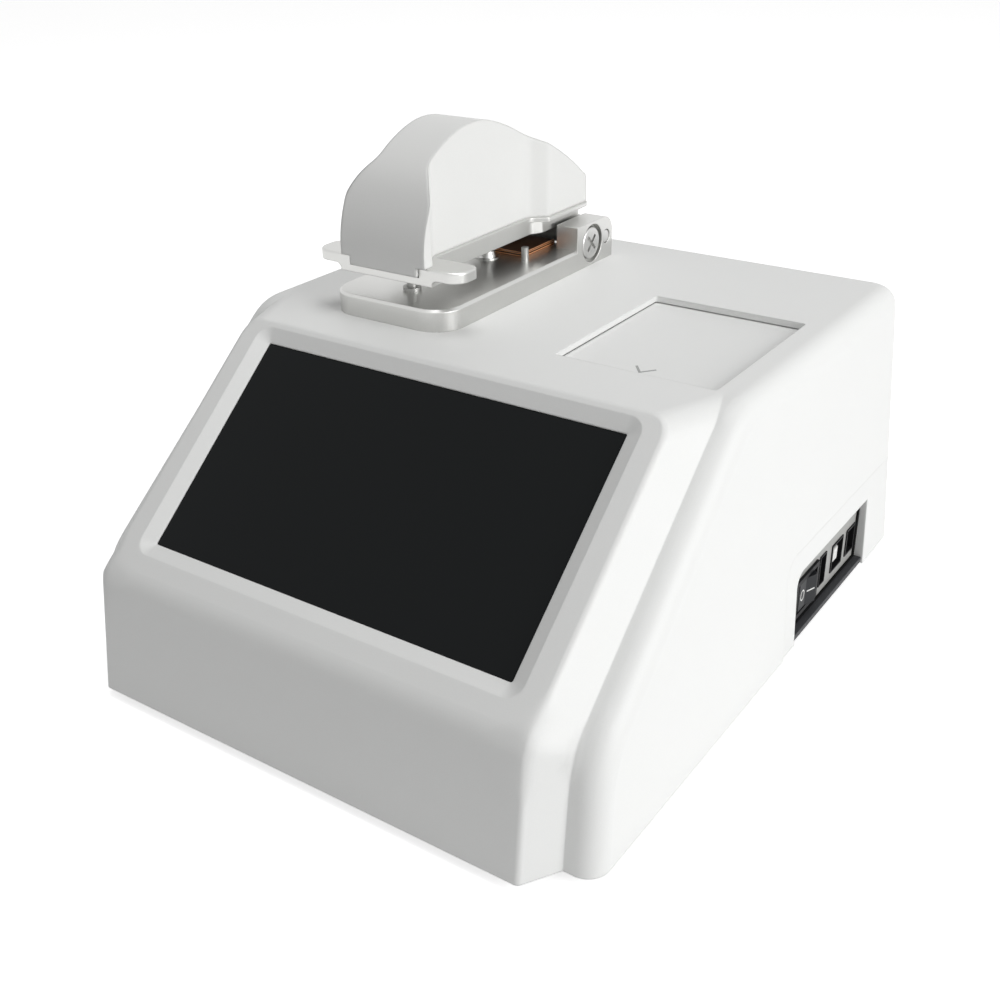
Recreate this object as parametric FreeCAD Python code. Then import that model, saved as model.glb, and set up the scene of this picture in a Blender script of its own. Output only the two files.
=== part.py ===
# Microvolume spectrophotometer with a seven-inch touch screen, a pedestal arm and a cuvette port.
# Millimetres. X is the width, Y runs from the front to the back and Z is up from the bench.
import FreeCAD, Part
import math
import os

V = FreeCAD.Vector
OUT = "parts"

# Driving sizes of the housing
foot_height = 4.6
shell_gap = 4.0
shell_height = 118.6
body_depth = 276.0
screen_side = 15.0
nose_draft = 0.014
rear_half = 112.0
rear_draft = 0.045
lean_front = 7.56
lean_back = 7.0
bend_height = 47.1
slope_angle = 39.93
step_depth = 12.9
flare_width = 8.05
wall = 2.4
bend_radius = 12.0
step_bend_radius = 36.0
nose_corner_radius = 10.5
nose_edge_radius = 2.5
nose_back_inset = 69.0
brow_radius = 22.0
rim_radius = 8.0
rear_corner_radius = 12.0

# Screen
screen_width = 154.0
screen_height = 86.6
screen_centre = 60.2
bezel_chamfer = 5.5
bezel_depth = 2.5
bezel_lip = 0.4
bezel_corner = 6.0
glass_margin = 3.0
glass_clear = 0.1
glass_thickness = 1.8
pad_margin = 5.0
pad_depth = 5.0
lcd_margin = 2.0
lcd_thickness = 5.0
bracket_thickness = 1.2
bracket_frame = 12.0
ear_offset = 8.5
ear_spacing = 30.0
ear_radius = 3.0

# Cuvette lid, its rails and its holder
lid_side = 20.1
lid_width = 62.1
lid_behind = 81.6
lid_length = 75.4
lid_end_lap = 1.5
lid_side_lap = 0.3
lid_corner = 2.5
lid_thickness = 2.2
lid_clear = 0.4
lid_travel = 16.0
rail_gap = 0.2
rail_width = 5.5
rail_reach = 6.0
rail_lip = 2.0
well_side = 30.9
well_behind = 7.0
well_size = 12.7
well_depth = 44.0
holder_half = 15.0
holder_top = 113.0
flange_half = 20.0
flange_thickness = 3.0
beam_height = 95.0
tube_radius = 6.0
tube_clear = 0.3
detector_half = 12.0
detector_can = 2.0

# Pedestal base and its cheeks
arm_side = 50.6
base_half = 28.0
base_front = -25.5
base_back = 96.0
base_thickness = 8.4
base_corner = 12.0
base_edge = 1.0
cheek_width = 10.2
cheek_front = 67.5
cheek_height = 9.8
cheek_corner = 7.0
slot_front = 74.0
slot_floor = 2.4
cheek_screw_y = 79.6
cheek_screw_rise = 9.1
cheek_screw_radius = 6.8
cheek_bore_radius = 8.0
cheek_bore_depth = 2.6
hinge_y = 91.0
hinge_rise = 9.4
pin_radius = 3.0
pin_clear = 0.03
bush_wall = 0.8
bush_length = 8.0
bush_flange = 1.0
lug_radius = 5.6

# Measuring arm
arm_gap = 8.4
plate_height = 6.6
wing_height = 4.0
wing_half = 33.8
wing_back = -10.0
wing_root_radius = 3.5
block_half = 21.3
arm_front = -23.6
arm_half = 13.5
arm_rear_half = 16.3
arm_widen_front = 54.0
arm_widen_back = 59.0
arm_back = 89.5
rim_half = 19.7
rim_height = 1.6
rim_back = 91.5
tab_half = 15.9
tab_rise = 2.8
tab_depth = 3.8
tab_clear = 0.35
cover_front = -25.0
cover_back = 90.6
cover_wide_half = 19.5
cover_half = 11.5
cover_rear_half = 18.0
cover_top = 44.1
cover_wall = 2.0
crown_steps = 14
pedestal_y = 42.0
sample_radius = 2.0
sample_gap = 0.6
rest_pin_y = 45.8
rest_pin_offset = 16.2
rest_pin_radius = 1.5
rest_pin_height = 5.5
front_post_y = -8.0
front_post_radius = 2.0
fold_half = 14.0
fold_front = 48.0
fold_back = 72.0
fold_height = 2.4

# Connector bay in the right side
bay_y0 = 27.0
bay_y1 = 102.0
bay_top = 30.7
bay_corner = 6.0
bay_wall = 2.0
panel_inset = 5.0
panel_thickness = 1.2
panel_gap = 1.0
panel_flange = 12.0
sleeve_behind = 1.5
scoop_y0 = 15.0
scoop_top = 42.0
scoop_corner = 8.0
scoop_depth = 0.8
rocker_y = 44.0
rocker_z = 19.0
rocker_half_y = 9.5
rocker_half_z = 7.5
rocker_case_wall = 1.0
rocker_gap = 0.3
rocker_radius = 9.2
rocker_face = 6.0
rocker_dish = 1.0
rocker_tilt = 10.0
rocker_behind = 5.0
host_y = 62.0
device_y = 78.0
power_y = 93.0
port_z = 12.6
port_depth = 14.0

# Tray, feet, boards and the inner frame
tray_thickness = 2.4
tray_clear = 0.3
tray_rim = 9.0
tray_wall = 1.6
tray_tab_inset = 1.6
vent_pitch = 8.0
vent_count = 15
vent_width = 2.6
vent_y0 = 30.0
vent_y1 = 70.0
foot_radius = 9.0
foot_side = 14.0
rear_foot_side = 20.0
foot_inset = 26.0
boss_side = 11.0
boss_behind = 12.0
boss_before = 38.0
boss_radius = 4.0
boss_top = 40.0
board_thickness = 1.6
board_height = 6.0
board_x0 = -76.0
board_x1 = 74.0
board_y0 = -110.0
board_y1 = -10.0
can_x = -30.0
can_y = -80.0
can_size = 30.0
cooler_x = 20.0
cooler_fins = 8
plug_xs = (-60, -30, 10)
plug_y = -24.0
plug_length = 22.0
connector_board_height = 4.0
connector_board_reach = 30.0
chassis_z = 66.0
chassis_thickness = 3.0
chassis_side = 17.0
chassis_behind = 20.0
module_height = 28.0
module_y0 = 24.0
module_width = 90.0
module_length = 76.0
module_lid = 4.0
fibre_radius = 1.5
lamp_behind = 26.6
lamp_length = 30.0
lamp_half = 18.0
lamp_height = 34.0
lamp_fin = 8.0
screw_clear = 0.1

# Levels and places that follow from the sizes above
nose_half = screen_width / 2 + screen_side
z0 = shell_gap
top = z0 + shell_height
ceiling = top - wall
front = -body_depth / 2
back = body_depth / 2
panel_x = rear_half - panel_inset
tray_tab_x = rear_half - tray_tab_inset
rocker_pivot_x = panel_x - rocker_behind
connector_board_x0 = panel_x - connector_board_reach
arm_x = lid_side + arm_side - rear_half
lid_x1 = rear_half - lid_side
lid_x0 = lid_x1 - lid_width
lid_y1 = back - lid_behind
lid_y0 = lid_y1 - lid_length
well_x = lid_x1 - well_side
well_y = lid_y1 - well_behind
rail_front = lid_y0 + 4
rail_back = lid_y1 + 5.6
lamp_y0 = well_y + lamp_behind
lamp_y1 = lamp_y0 + lamp_length
chassis_x = rear_half - chassis_side
chassis_y1 = back - chassis_behind
module_x0 = 5 - chassis_x
lean = math.radians(lean_front)
rear_lean = math.radians(lean_back)
slope = math.radians(slope_angle)
bend_y = front + bend_height * math.tan(lean)
bend_z = z0 + bend_height
floor_z = foot_height + tray_thickness
base_top = top + base_thickness
hinge_z = top + hinge_rise
plate_z = base_top + arm_gap
plate_top = plate_z + plate_height
lid_top = ceiling - lid_clear
lid_bottom = lid_top - lid_thickness
glass_depth = bezel_depth + bezel_lip
lcd_depth = glass_depth + glass_thickness
bracket_depth = lcd_depth + lcd_thickness
chassis_top = chassis_z + chassis_thickness
bay_z1 = z0 + bay_top
sleeve_x = panel_x - panel_thickness - sleeve_behind
bush_radius = pin_radius + pin_clear + bush_wall
SLOPE_UP = V(0, math.cos(slope), math.sin(slope))
SLOPE_OUT = V(0, -math.sin(slope), math.cos(slope))
X = V(1, 0, 0)
Y = V(0, 1, 0)
Z = V(0, 0, 1)


def box(x0, x1, y0, y1, za, zb):
    return Part.makeBox(x1 - x0, y1 - y0, zb - za, V(x0, y0, za))


def rod(radius, start, direction, length):
    return Part.makeCylinder(radius, length, start, direction)


def join(shapes):
    return shapes[0].multiFuse(shapes[1:]).removeSplitter()


def edges_where(shape, test):
    return [e for e in shape.Edges if test(e)]


def middle(edge):
    return edge.valueAt((edge.FirstParameter + edge.LastParameter) / 2)


def round_uprights(shape, corners):
    """Rounds the upright edges at the given plan points, each with its own radius."""
    for x, y, radius in corners:
        found = edges_where(shape, lambda e: abs(middle(e).x - x) < 0.02 and abs(middle(e).y - y) < 0.02)
        shape = shape.makeFillet(radius, found)
    return shape


def rounded_wire(half_x, half_y, radius, centre, u, v):
    """Closed outline of a rounded rectangle about a centre, with u across and v along it."""
    arcs = []
    for sx, sy, start in ((1, 1, 0), (-1, 1, 90), (-1, -1, 180), (1, -1, 270)):
        mid = centre + u * (sx * (half_x - radius)) + v * (sy * (half_y - radius))
        turn = [math.radians(start + a) for a in (0, 45, 90)]
        arcs.append([mid + u * (radius * math.cos(a)) + v * (radius * math.sin(a)) for a in turn])
    edges = []
    for i in range(4):
        edges.append(Part.Arc(*arcs[i]).toShape())
        edges.append(Part.makeLine(arcs[i][2], arcs[(i + 1) % 4][0]))
    return Part.Wire(edges)


def rounded_plate(half_x, half_y, radius, centre, thickness, u=X, v=Y, direction=Z):
    wire = rounded_wire(half_x, half_y, radius, centre, u, v)
    return Part.Face(wire).extrude(direction * thickness)


def side_prism(points, x0, x1):
    """Prism along X from an outline given as (y, z) points."""
    outline = [V(x0, y, z) for y, z in points]
    return Part.Face(Part.makePolygon(outline + [outline[0]])).extrude(V(x1 - x0, 0, 0))


def plan_prism(points, za, zb):
    """Prism along Z from an outline given as (x, y) points."""
    outline = [V(x, y, za) for x, y in points]
    return Part.Face(Part.makePolygon(outline + [outline[0]])).extrude(V(0, 0, zb - za))


def screw(head_radius, head_height, shank_radius, length, seat, direction):
    """Screw whose head sits on a seat point and whose shank runs along a direction."""
    head = rod(head_radius, seat, direction * -1, head_height)
    crown = edges_where(head, lambda e: (middle(e) - seat).dot(direction) < -0.9 * head_height)
    head = head.makeFillet(head_height * 0.4, crown)
    return head.fuse(rod(shank_radius, seat, direction, length))


def small_screw(seat, direction, length):
    return screw(2.6, 1.8, 1.4, length, seat, direction)


def small_hole(start, direction, length):
    return rod(1.4 + screw_clear, start, direction, length)


def on_slope(x, up, depth):
    """Point at a distance up the screen slope from the bend and at a depth under its surface."""
    return V(x, bend_y, bend_z) + SLOPE_UP * up - SLOPE_OUT * depth


def slope_plate(half_x, half_up, radius, depth, thickness):
    """Rounded plate about the screen's centre that starts at a depth and runs inwards."""
    centre = on_slope(0, screen_centre, depth)
    return rounded_plate(half_x, half_up, radius, centre, thickness, X, SLOPE_UP, SLOPE_OUT * -1)


def line_meet(p, d, q, e):
    """Meeting point of two lines in the YZ plane."""
    cross = d.y * e.z - d.z * e.y
    k = ((q.y - p.y) * e.z - (q.z - p.z) * e.y) / cross
    return p + d * k


def profile_points(depth, roof, rear_inset):
    """Side view of the housing with its front faces set in by a depth."""
    low = V(0, front + depth / math.cos(lean), z0)
    low_dir = V(0, math.sin(lean), math.cos(lean))
    brow = on_slope(0, 0, depth)
    bend = line_meet(low, low_dir, brow, SLOPE_UP)
    crease = line_meet(brow, SLOPE_UP, V(0, 0, roof), Y)
    start = low - low_dir * 20
    rear = back - rear_inset / math.cos(rear_lean)
    rear_low = V(0, rear + math.tan(rear_lean) * (z0 - start.z), start.z)
    rear_high = V(0, rear - math.tan(rear_lean) * (roof - z0), roof)
    return [start, bend, crease, rear_high, rear_low], bend, crease


def extruded_profile(points, half):
    return side_prism([(p.y, p.z) for p in points], -half, half)


def flare_prism(origin, along, inward, inset):
    """Tapered prism whose sides flare out from the front face to the step."""
    rise = flare_width / step_depth
    deep = 400.0
    lead = 30.0
    wires = []
    for k in (-300, 300):
        p = origin + along * k

        def half_at(depth):
            level = (p + inward * depth).z
            return nose_half - inset - nose_draft * (level - z0) + rise * min(depth, step_depth)

        pts = [(half_at(d), d) for d in (-lead, step_depth, deep)]
        pts = pts + [(-x, d) for x, d in reversed(pts)]
        wires.append(Part.makePolygon([p + X * x + inward * d for x, d in pts + [pts[0]]]))
    return Part.makeLoft(wires, True, True)


def nose_form(inset):
    """Front block that carries the screen, with flared side strips; flat-faced where it is set in."""
    roof = top - inset
    points, bend, crease = profile_points(inset, roof, nose_back_inset)
    body = extruded_profile(points, nose_half + 40)
    low_dir = V(0, math.sin(lean), math.cos(lean))
    low_in = V(0, math.cos(lean), -math.sin(lean))
    body = body.common(flare_prism(V(0, front, z0), low_dir, low_in, inset))
    body = body.common(flare_prism(on_slope(0, 0, 0), SLOPE_UP, SLOPE_OUT * -1, inset))
    body = body.removeSplitter()
    strip = edges_where(body, lambda e: abs(middle(e).z - roof) < 0.01 and abs(middle(e).x) > 60
                        and middle(e).y < crease.y + step_depth / math.sin(slope))
    below = box(-200, 200, front - 50, back, z0, top + 50)
    if inset > 0:
        return body.makeChamfer((nose_corner_radius - inset) / 3, strip).common(below)
    body = body.makeFillet(nose_corner_radius, strip)
    bends = edges_where(body, lambda e: abs(e.Vertexes[0].Z - e.Vertexes[-1].Z) < 3.0
                        and abs(middle(e).z - bend.z) < 4.0 and middle(e).y < bend.y + 6)
    body = body.makeFillet(bend_radius, bends)
    body = body.makeFillet(nose_edge_radius, edges_where(body, on_front_edge))
    return body.common(below)


def front_distance(p):
    """Depth of a point under the lower front face or the slope, whichever is nearer."""
    low = (p.y - front) * math.cos(lean) - (p.z - z0) * math.sin(lean)
    face = -(p - V(p.x, bend_y, bend_z)).dot(SLOPE_OUT)
    return min(low, face)


def on_front_edge(edge):
    """True on the edges that part the front faces from the flared strips."""
    ends = [v.Point for v in edge.Vertexes] + [middle(edge)]
    beside = all(abs(p.x) > nose_half - 16 for p in ends)
    shallow = all(front_distance(p) < 2.6 for p in ends)
    level = all(abs(p.z - top) < 0.01 for p in ends)
    return beside and shallow and not level


def rear_form(inset):
    """Wider rear housing whose front face is the step behind the nose."""
    roof = top - inset
    points, bend, crease = profile_points(step_depth + inset, roof, inset)
    body = extruded_profile(points, rear_half + 20)
    wires = []
    for z in (z0 - 40, top + 40):
        half = rear_half - inset - rear_draft * (z - z0)
        ends = [V(-half, -300, z), V(half, -300, z), V(half, 300, z), V(-half, 300, z)]
        wires.append(Part.makePolygon(ends + [ends[0]]))
    body = body.common(Part.makeLoft(wires, True, True))
    body = body.common(box(-200, 200, front - 50, back + 50, z0, top + 50)).removeSplitter()
    upright = edges_where(body, lambda e: middle(e).y > back - 30
                          and abs(e.Vertexes[0].Z - e.Vertexes[-1].Z) > 60)
    body = body.makeFillet(rear_corner_radius - inset, upright)
    bends = edges_where(body, lambda e: abs(middle(e).z - bend.z) < 0.5 and e.Length > 150)
    body = body.makeFillet(step_bend_radius, bends)
    brow = edges_where(body, lambda e: abs(middle(e).z - roof) < 0.01 and abs(middle(e).y - crease.y) < 0.5)
    body = body.makeFillet(brow_radius - inset, brow)
    rim = edges_where(body, lambda e: on_rim(e, inset, roof, crease))
    return body.makeFillet(rim_radius - inset, rim)


def on_rim(edge, inset, roof, crease):
    """True on the outer edges of the rear housing's step, sides and top."""
    p = middle(edge)
    heights = [v.Z for v in edge.Vertexes]
    side = rear_half - inset - rear_draft * (p.z - z0)
    beside = abs(abs(p.x) - side) < 0.05
    level = abs(p.z - roof) < 0.01
    at_brow = abs(p.x) < 1 and p.y < crease.y + 30
    upright = abs(heights[0] - heights[-1]) > 60 and p.y > back - 40
    return max(heights) > z0 + 1 and (beside or level) and not at_brow and not upright


def housing_form(inset):
    nose = nose_form(inset)
    return rear_form(inset).cut(nose).fuse(nose)


def base_point(x, y, z):
    """Point given from the middle line of the arm."""
    return V(arm_x + x, y, z)


# Places of the fasteners that more than one piece shares
tray_bosses = [(s * (rear_half - boss_side), front + boss_before) for s in (-1, 1)]
tray_bosses += [(s * (rear_half - boss_side + 1), 8) for s in (-1, 1)]
tray_bosses += [(s * (rear_half - 40), back - boss_behind) for s in (-1, 1)]
feet = [(s * (nose_half - foot_side), front + foot_inset) for s in (-1, 1)]
feet += [(s * (rear_half - rear_foot_side), back - foot_inset) for s in (-1, 1)]
board_corners = [(x, y) for x in (board_x0 + 5, board_x1 - 5) for y in (board_y0 + 12, board_y1 - 5)]
pillars = [(s * (chassis_x - 11), 8) for s in (-1, 1)]
pillars += [(s * (chassis_x - 25), chassis_y1 - 6) for s in (-1, 1)]
base_screws = [(x, y) for x in (-20, 20) for y in (-12, 60)]
ear_places = [(s * (screen_width / 2 + ear_offset), screen_centre + t * ear_spacing) for s in (-1, 1) for t in (-1, 1)]
connector_screws = [(panel_x - 25, host_y), (panel_x - 25, power_y + 4)]
flange_screws = [(panel_x - 9, bay_y0 + 3.3), (panel_x - 9, bay_y1 - 4)]
cover_screws = [-15, 72]
rail_screw_places = [rail_front + 8, rail_back - 8]
# Middle, half width and half height of the tall data port, the square data port and the power inlet
ports = [(host_y, 3.2, 7.0), (device_y, 6.0, 6.4), (power_y, 4.7, 6.2)]


def bay_block(x0, x1, grow):
    """Block with the outline of the connector bay, rounded at its upper front corner."""
    block = box(x0, x1, bay_y0 - grow, bay_y1 + grow, z0 - 1, bay_z1 + grow)
    corner = edges_where(block, lambda e: abs(middle(e).y - bay_y0 + grow) < 0.01
                         and abs(middle(e).z - bay_z1 - grow) < 0.01)
    return block.makeFillet(bay_corner + grow, corner)


def scoop():
    """Shallow depression round the connector bay."""
    height = scoop_top + 1
    x_low = rear_half - scoop_depth + rear_draft
    points = [(x_low, z0 - 1), (x_low + 9, z0 - 1), (x_low + 9, z0 + scoop_top),
              (x_low - rear_draft * height, z0 + scoop_top)]
    outline = [V(x, scoop_y0, z) for x, z in points]
    slab = Part.Face(Part.makePolygon(outline + [outline[0]])).extrude(V(0, back + 12 - scoop_y0, 0))
    corners = edges_where(slab, lambda e: abs(middle(e).z - z0 - scoop_top) < 0.01
                          and abs(e.Vertexes[0].X - e.Vertexes[-1].X) > 1)
    return slab.makeFillet(scoop_corner, corners)


def lid_slab(x_grow, front_grow, za, zb):
    """Slab with the lid's outline, grown all round and further towards the front."""
    x0 = lid_x0 - lid_side_lap - x_grow
    x1 = lid_x1 + lid_side_lap + x_grow
    y0 = lid_y0 - lid_end_lap - x_grow - front_grow
    y1 = lid_y1 + lid_end_lap + x_grow
    slab = box(x0, x1, y0, y1, za, zb)
    return round_uprights(slab, [(x0, y0, lid_corner), (x1, y0, lid_corner)])


def upper_housing():
    """Moulded shell: screen recess, lid pocket, connector bay, bosses and screw holes."""
    outer = housing_form(0)
    shell = outer.cut(housing_form(wall))
    pad = slope_plate(screen_width / 2 + pad_margin, screen_height / 2 + pad_margin, 4, 0.5, pad_depth - 0.5)
    shell = shell.fuse(pad.common(outer))
    ears = [rod(ear_radius, on_slope(x, up, 1), SLOPE_OUT * -1, bracket_depth - 1) for x, up in ear_places]
    shell = shell.multiFuse([e.common(outer) for e in ears])
    half_x = screen_width / 2
    half_up = screen_height / 2
    rim = rounded_wire(half_x + bezel_chamfer, half_up + bezel_chamfer, bezel_corner,
                       on_slope(0, screen_centre, 0), X, SLOPE_UP)
    sill = rounded_wire(half_x, half_up, 0.8, on_slope(0, screen_centre, bezel_depth), X, SLOPE_UP)
    recess = Part.makeLoft([rim, sill], True, True)
    window = slope_plate(half_x, half_up, 0.8, bezel_depth - 0.01, 1)
    rebate = slope_plate(half_x + glass_margin + glass_clear, half_up + glass_margin + glass_clear, 1,
                         glass_depth, pad_depth)
    shell = shell.cut([recess, window, rebate])
    shell = shell.cut([rod(1.4 + screw_clear, on_slope(x, up, bracket_depth + 1), SLOPE_OUT, 7)
                       for x, up in ear_places])

    pocket = box(lid_x0, lid_x1, lid_y0, lid_y1, ceiling - 1, top + 1)
    pocket = round_uprights(pocket, [(x, y, 1.0) for x in (lid_x0, lid_x1) for y in (lid_y0, lid_y1)])
    shell = shell.cut([pocket, lid_slab(rail_gap, lid_travel, lid_bottom - 4, lid_top + rail_gap)])
    shell = shell.cut([rod(0.9 + screw_clear, V(x, y, ceiling - 1), Z, 2.7)
                       for x in rail_middles() for y in rail_screw_places])

    sleeve = bay_block(sleeve_x, rear_half + 5, bay_wall).common(outer)
    shell = shell.fuse(sleeve).cut([bay_block(60, rear_half + 20, 0), scoop()])

    skin_holes = [rod(2.0 + screw_clear, base_point(x, y, ceiling - 1), Z, wall + 2) for x, y in base_screws]
    skin_holes.append(rod(5.0 + screw_clear, base_point(0, pedestal_y, ceiling - 1), Z, wall + 2))
    shell = shell.cut(skin_holes)

    inner = housing_form(wall - 0.2)
    posts = []
    for x, y in tray_bosses:
        post = rod(boss_radius, V(x, y, floor_z), Z, boss_top - floor_z)
        side = 1 if x > 0 else -1
        tip = x + side * (boss_side + 1)
        web = box(min(x, tip), max(x, tip), y - 1, y + 1, floor_z + tray_rim + 1, boss_top)
        if y > back - boss_behind - 1:
            web = box(x - 1, x + 1, y, y + boss_behind + 2, floor_z + tray_rim + 1, boss_top)
        posts.append(post.fuse(web).common(inner))
    shell = shell.multiFuse(posts).removeSplitter()
    return shell.cut([small_hole(V(x, y, floor_z - 1), Z, 16) for x, y in tray_bosses])


def base_tray():
    """Bottom tray: plate with a rim, foot bosses, board bosses, vents and the tab under the bay."""
    edge = wall + tray_clear
    form = housing_form(edge)
    plate = form.common(box(-200, 200, -200, 200, foot_height, floor_z))
    plate = plate.cut(box(sleeve_x - tray_clear, 200, bay_y0 - bay_wall - tray_clear, bay_y1 + bay_wall + tray_clear,
                          foot_height - 1, floor_z + 1))
    band = form.cut(housing_form(edge + tray_wall))
    band = band.common(box(-200, 200, -200, 200, floor_z, floor_z + tray_rim))
    band = band.cut(box(60, 200, bay_y0 - bay_wall - 1, bay_y1 + bay_wall + 1, floor_z, bay_z1))
    for x, y in tray_bosses:
        band = band.cut(rod(boss_radius + 0.5, V(x, y, floor_z), Z, tray_rim + 1))
    tab = box(60, tray_tab_x, bay_y0 + tray_clear, bay_y1 - tray_clear, foot_height, floor_z)
    bosses = [rod(3.5, V(x, y, floor_z), Z, 4) for x, y in feet]
    bosses += [rod(2.6, V(x, y, floor_z), Z, connector_board_height) for x, y in connector_screws]
    tray = join([plate, band, tab] + bosses)
    holes = [small_hole(V(x, y, foot_height - 1), Z, tray_thickness + 8) for x, y in feet + tray_bosses]
    holes += [small_hole(V(x, y, floor_z - 1.4), Z, 10) for x, y in connector_screws + flange_screws]
    holes += [small_hole(V(x, y, foot_height - 1), Z, 6) for x, y in pillars + board_corners]
    vent_xs = [vent_pitch * (i - vent_count // 2) for i in range(vent_count)]
    vents = [box(x, x + vent_width, vent_y0, vent_y1, foot_height - 1, floor_z + 1) for x in vent_xs]
    return tray.cut(holes + vents)


def rubber_feet():
    shapes = []
    for x, y in feet:
        foot = rod(foot_radius, V(x, y, 0), Z, foot_height)
        foot = foot.makeFillet(0.8, edges_where(foot, lambda e: middle(e).z < 0.01))
        foot = foot.cut(rod(3.4, V(x, y, -1), Z, 3.2))
        shapes.append(foot.cut(small_hole(V(x, y, 0), Z, foot_height + 1)))
    return shapes


def foot_screws():
    return [small_screw(V(x, y, 2.2), Z, 8) for x, y in feet]


def tray_screws():
    return [small_screw(V(x, y, foot_height), Z, 12) for x, y in tray_bosses]


def screen_glass():
    half_x = screen_width / 2 + glass_margin
    half_up = screen_height / 2 + glass_margin
    return slope_plate(half_x, half_up, 1, glass_depth, glass_thickness)


def display_module():
    half_x = screen_width / 2 + lcd_margin
    half_up = screen_height / 2 + lcd_margin
    back_can = slope_plate(half_x - 20, half_up - 14, 2, bracket_depth, 3)
    return slope_plate(half_x, half_up, 1, lcd_depth, lcd_thickness).fuse(back_can)


def display_bracket():
    """Sheet frame behind the display, with four ears on the housing's bosses."""
    half_x = screen_width / 2 + lcd_margin
    half_up = screen_height / 2 + lcd_margin
    sheet = slope_plate(half_x, half_up, 3, bracket_depth, bracket_thickness)
    sheet = sheet.cut(slope_plate(half_x - bracket_frame, half_up - bracket_frame, 3, bracket_depth - 1, 4))
    ears = []
    for x, up in ear_places:
        ear = rod(ear_radius, on_slope(x, up, bracket_depth), SLOPE_OUT * -1, bracket_thickness)
        inner_x = math.copysign(half_x - 4, x)
        centre = on_slope((x + inner_x) / 2, up, bracket_depth)
        strip = rounded_plate(abs(x - inner_x) / 2, ear_radius, 0.5, centre, bracket_thickness,
                              X, SLOPE_UP, SLOPE_OUT * -1)
        ears += [ear, strip]
    sheet = sheet.multiFuse(ears).removeSplitter()
    return sheet.cut([rod(1.4 + screw_clear, on_slope(x, up, bracket_depth - 1), SLOPE_OUT * -1, 4)
                      for x, up in ear_places])


def display_screws():
    seat = bracket_depth + bracket_thickness
    return [small_screw(on_slope(x, up, seat), SLOPE_OUT, 6) for x, up in ear_places]


def panel_window(y, z, half_y, half_z, margin):
    return box(panel_x - panel_thickness - 1, panel_x + 1, y - half_y - margin, y + half_y + margin,
               z - half_z - margin, z + half_z + margin)


def connector_panel():
    """Sheet panel in the bay with a bottom flange and a window for each connector."""
    y0 = bay_y0 + panel_gap
    y1 = bay_y1 - panel_gap
    sheet = bay_block(panel_x - panel_thickness, panel_x, -panel_gap)
    sheet = sheet.common(box(0, 200, y0, y1, floor_z, bay_z1))
    flange = box(panel_x - panel_flange, panel_x, y0, y1, floor_z, floor_z + panel_thickness)
    panel = join([sheet, flange])
    windows = [panel_window(rocker_y, rocker_z, rocker_half_y + rocker_case_wall, rocker_half_z, 0.1)]
    windows += [panel_window(y, port_z + h, w, h, 0.1) for y, w, h in ports]
    holes = [small_hole(V(x, y, floor_z - 1), Z, 4) for x, y in flange_screws]
    return panel.cut(windows + holes)


def panel_screws():
    return [small_screw(V(x, y, floor_z + panel_thickness), Z * -1, 2.4) for x, y in flange_screws]


def port_shell(index, shell_wall):
    """Open-fronted metal or plastic shell of one port, standing on the connector board."""
    y, half_y, half_z = ports[index]
    outer = box(panel_x + 0.5 - port_depth, panel_x + 0.5, y - half_y, y + half_y, port_z, port_z + 2 * half_z)
    inner = box(panel_x + 2.0 - port_depth, panel_x + 2, y - half_y + shell_wall, y + half_y - shell_wall,
                port_z + shell_wall, port_z + 2 * half_z - shell_wall)
    return outer.cut(inner)


def host_port():
    y, half_y, half_z = ports[0]
    tongue = box(panel_x + 1.5 - port_depth, panel_x - 1, y - 0.1, y + 1.8, port_z + 1.4, port_z + 2 * half_z - 1.4)
    return port_shell(0, 0.5).fuse(tongue)


def device_port():
    y, half_y, half_z = ports[1]
    middle_z = port_z + half_z
    block = box(panel_x + 1.5 - port_depth, panel_x - 0.6, y - 2.8, y + 2.8, middle_z - 1.3, middle_z + 1.3)
    return port_shell(1, 0.6).fuse(block)


def power_inlet():
    y, half_y, half_z = ports[2]
    contact = rod(1.0, V(panel_x + 1.5 - port_depth, y, port_z + half_z), X, port_depth - 3.5)
    return port_shell(2, 0.8).fuse(contact)


def rocker_profile(turn):
    """Cross-section of the rocker about its pivot, turned about the upright axis."""
    reach = rocker_face + rocker_dish
    end = math.sqrt(rocker_radius ** 2 - reach ** 2)
    low = math.sqrt(rocker_radius ** 2 - 9.0)
    z = rocker_z - rocker_half_z + 1.3
    pts = [V(reach, end, 0), V(0, rocker_radius, 0), V(-3, low, 0), V(-3, -low, 0),
           V(0, -rocker_radius, 0), V(reach, -end, 0), V(rocker_face, 0, 0)]
    edges = [Part.Arc(pts[0], pts[1], pts[2]).toShape(), Part.makeLine(pts[2], pts[3]),
             Part.Arc(pts[3], pts[4], pts[5]).toShape(), Part.makeLine(pts[5], pts[6]),
             Part.makeLine(pts[6], pts[0])]
    solid = Part.Face(Part.Wire(edges)).extrude(V(0, 0, 2 * rocker_half_z - 2.6))
    solid.rotate(V(0, 0, 0), Z, turn)
    solid.translate(V(rocker_pivot_x, rocker_y, z))
    return solid


def rocker_button():
    """Rocker with its off end pressed in, on two short pins."""
    pins = rod(1.0, V(rocker_pivot_x, rocker_y, rocker_z - rocker_half_z + 0.2), Z, 2 * rocker_half_z - 0.4)
    return rocker_profile(-rocker_tilt).fuse(pins).removeSplitter()


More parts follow.
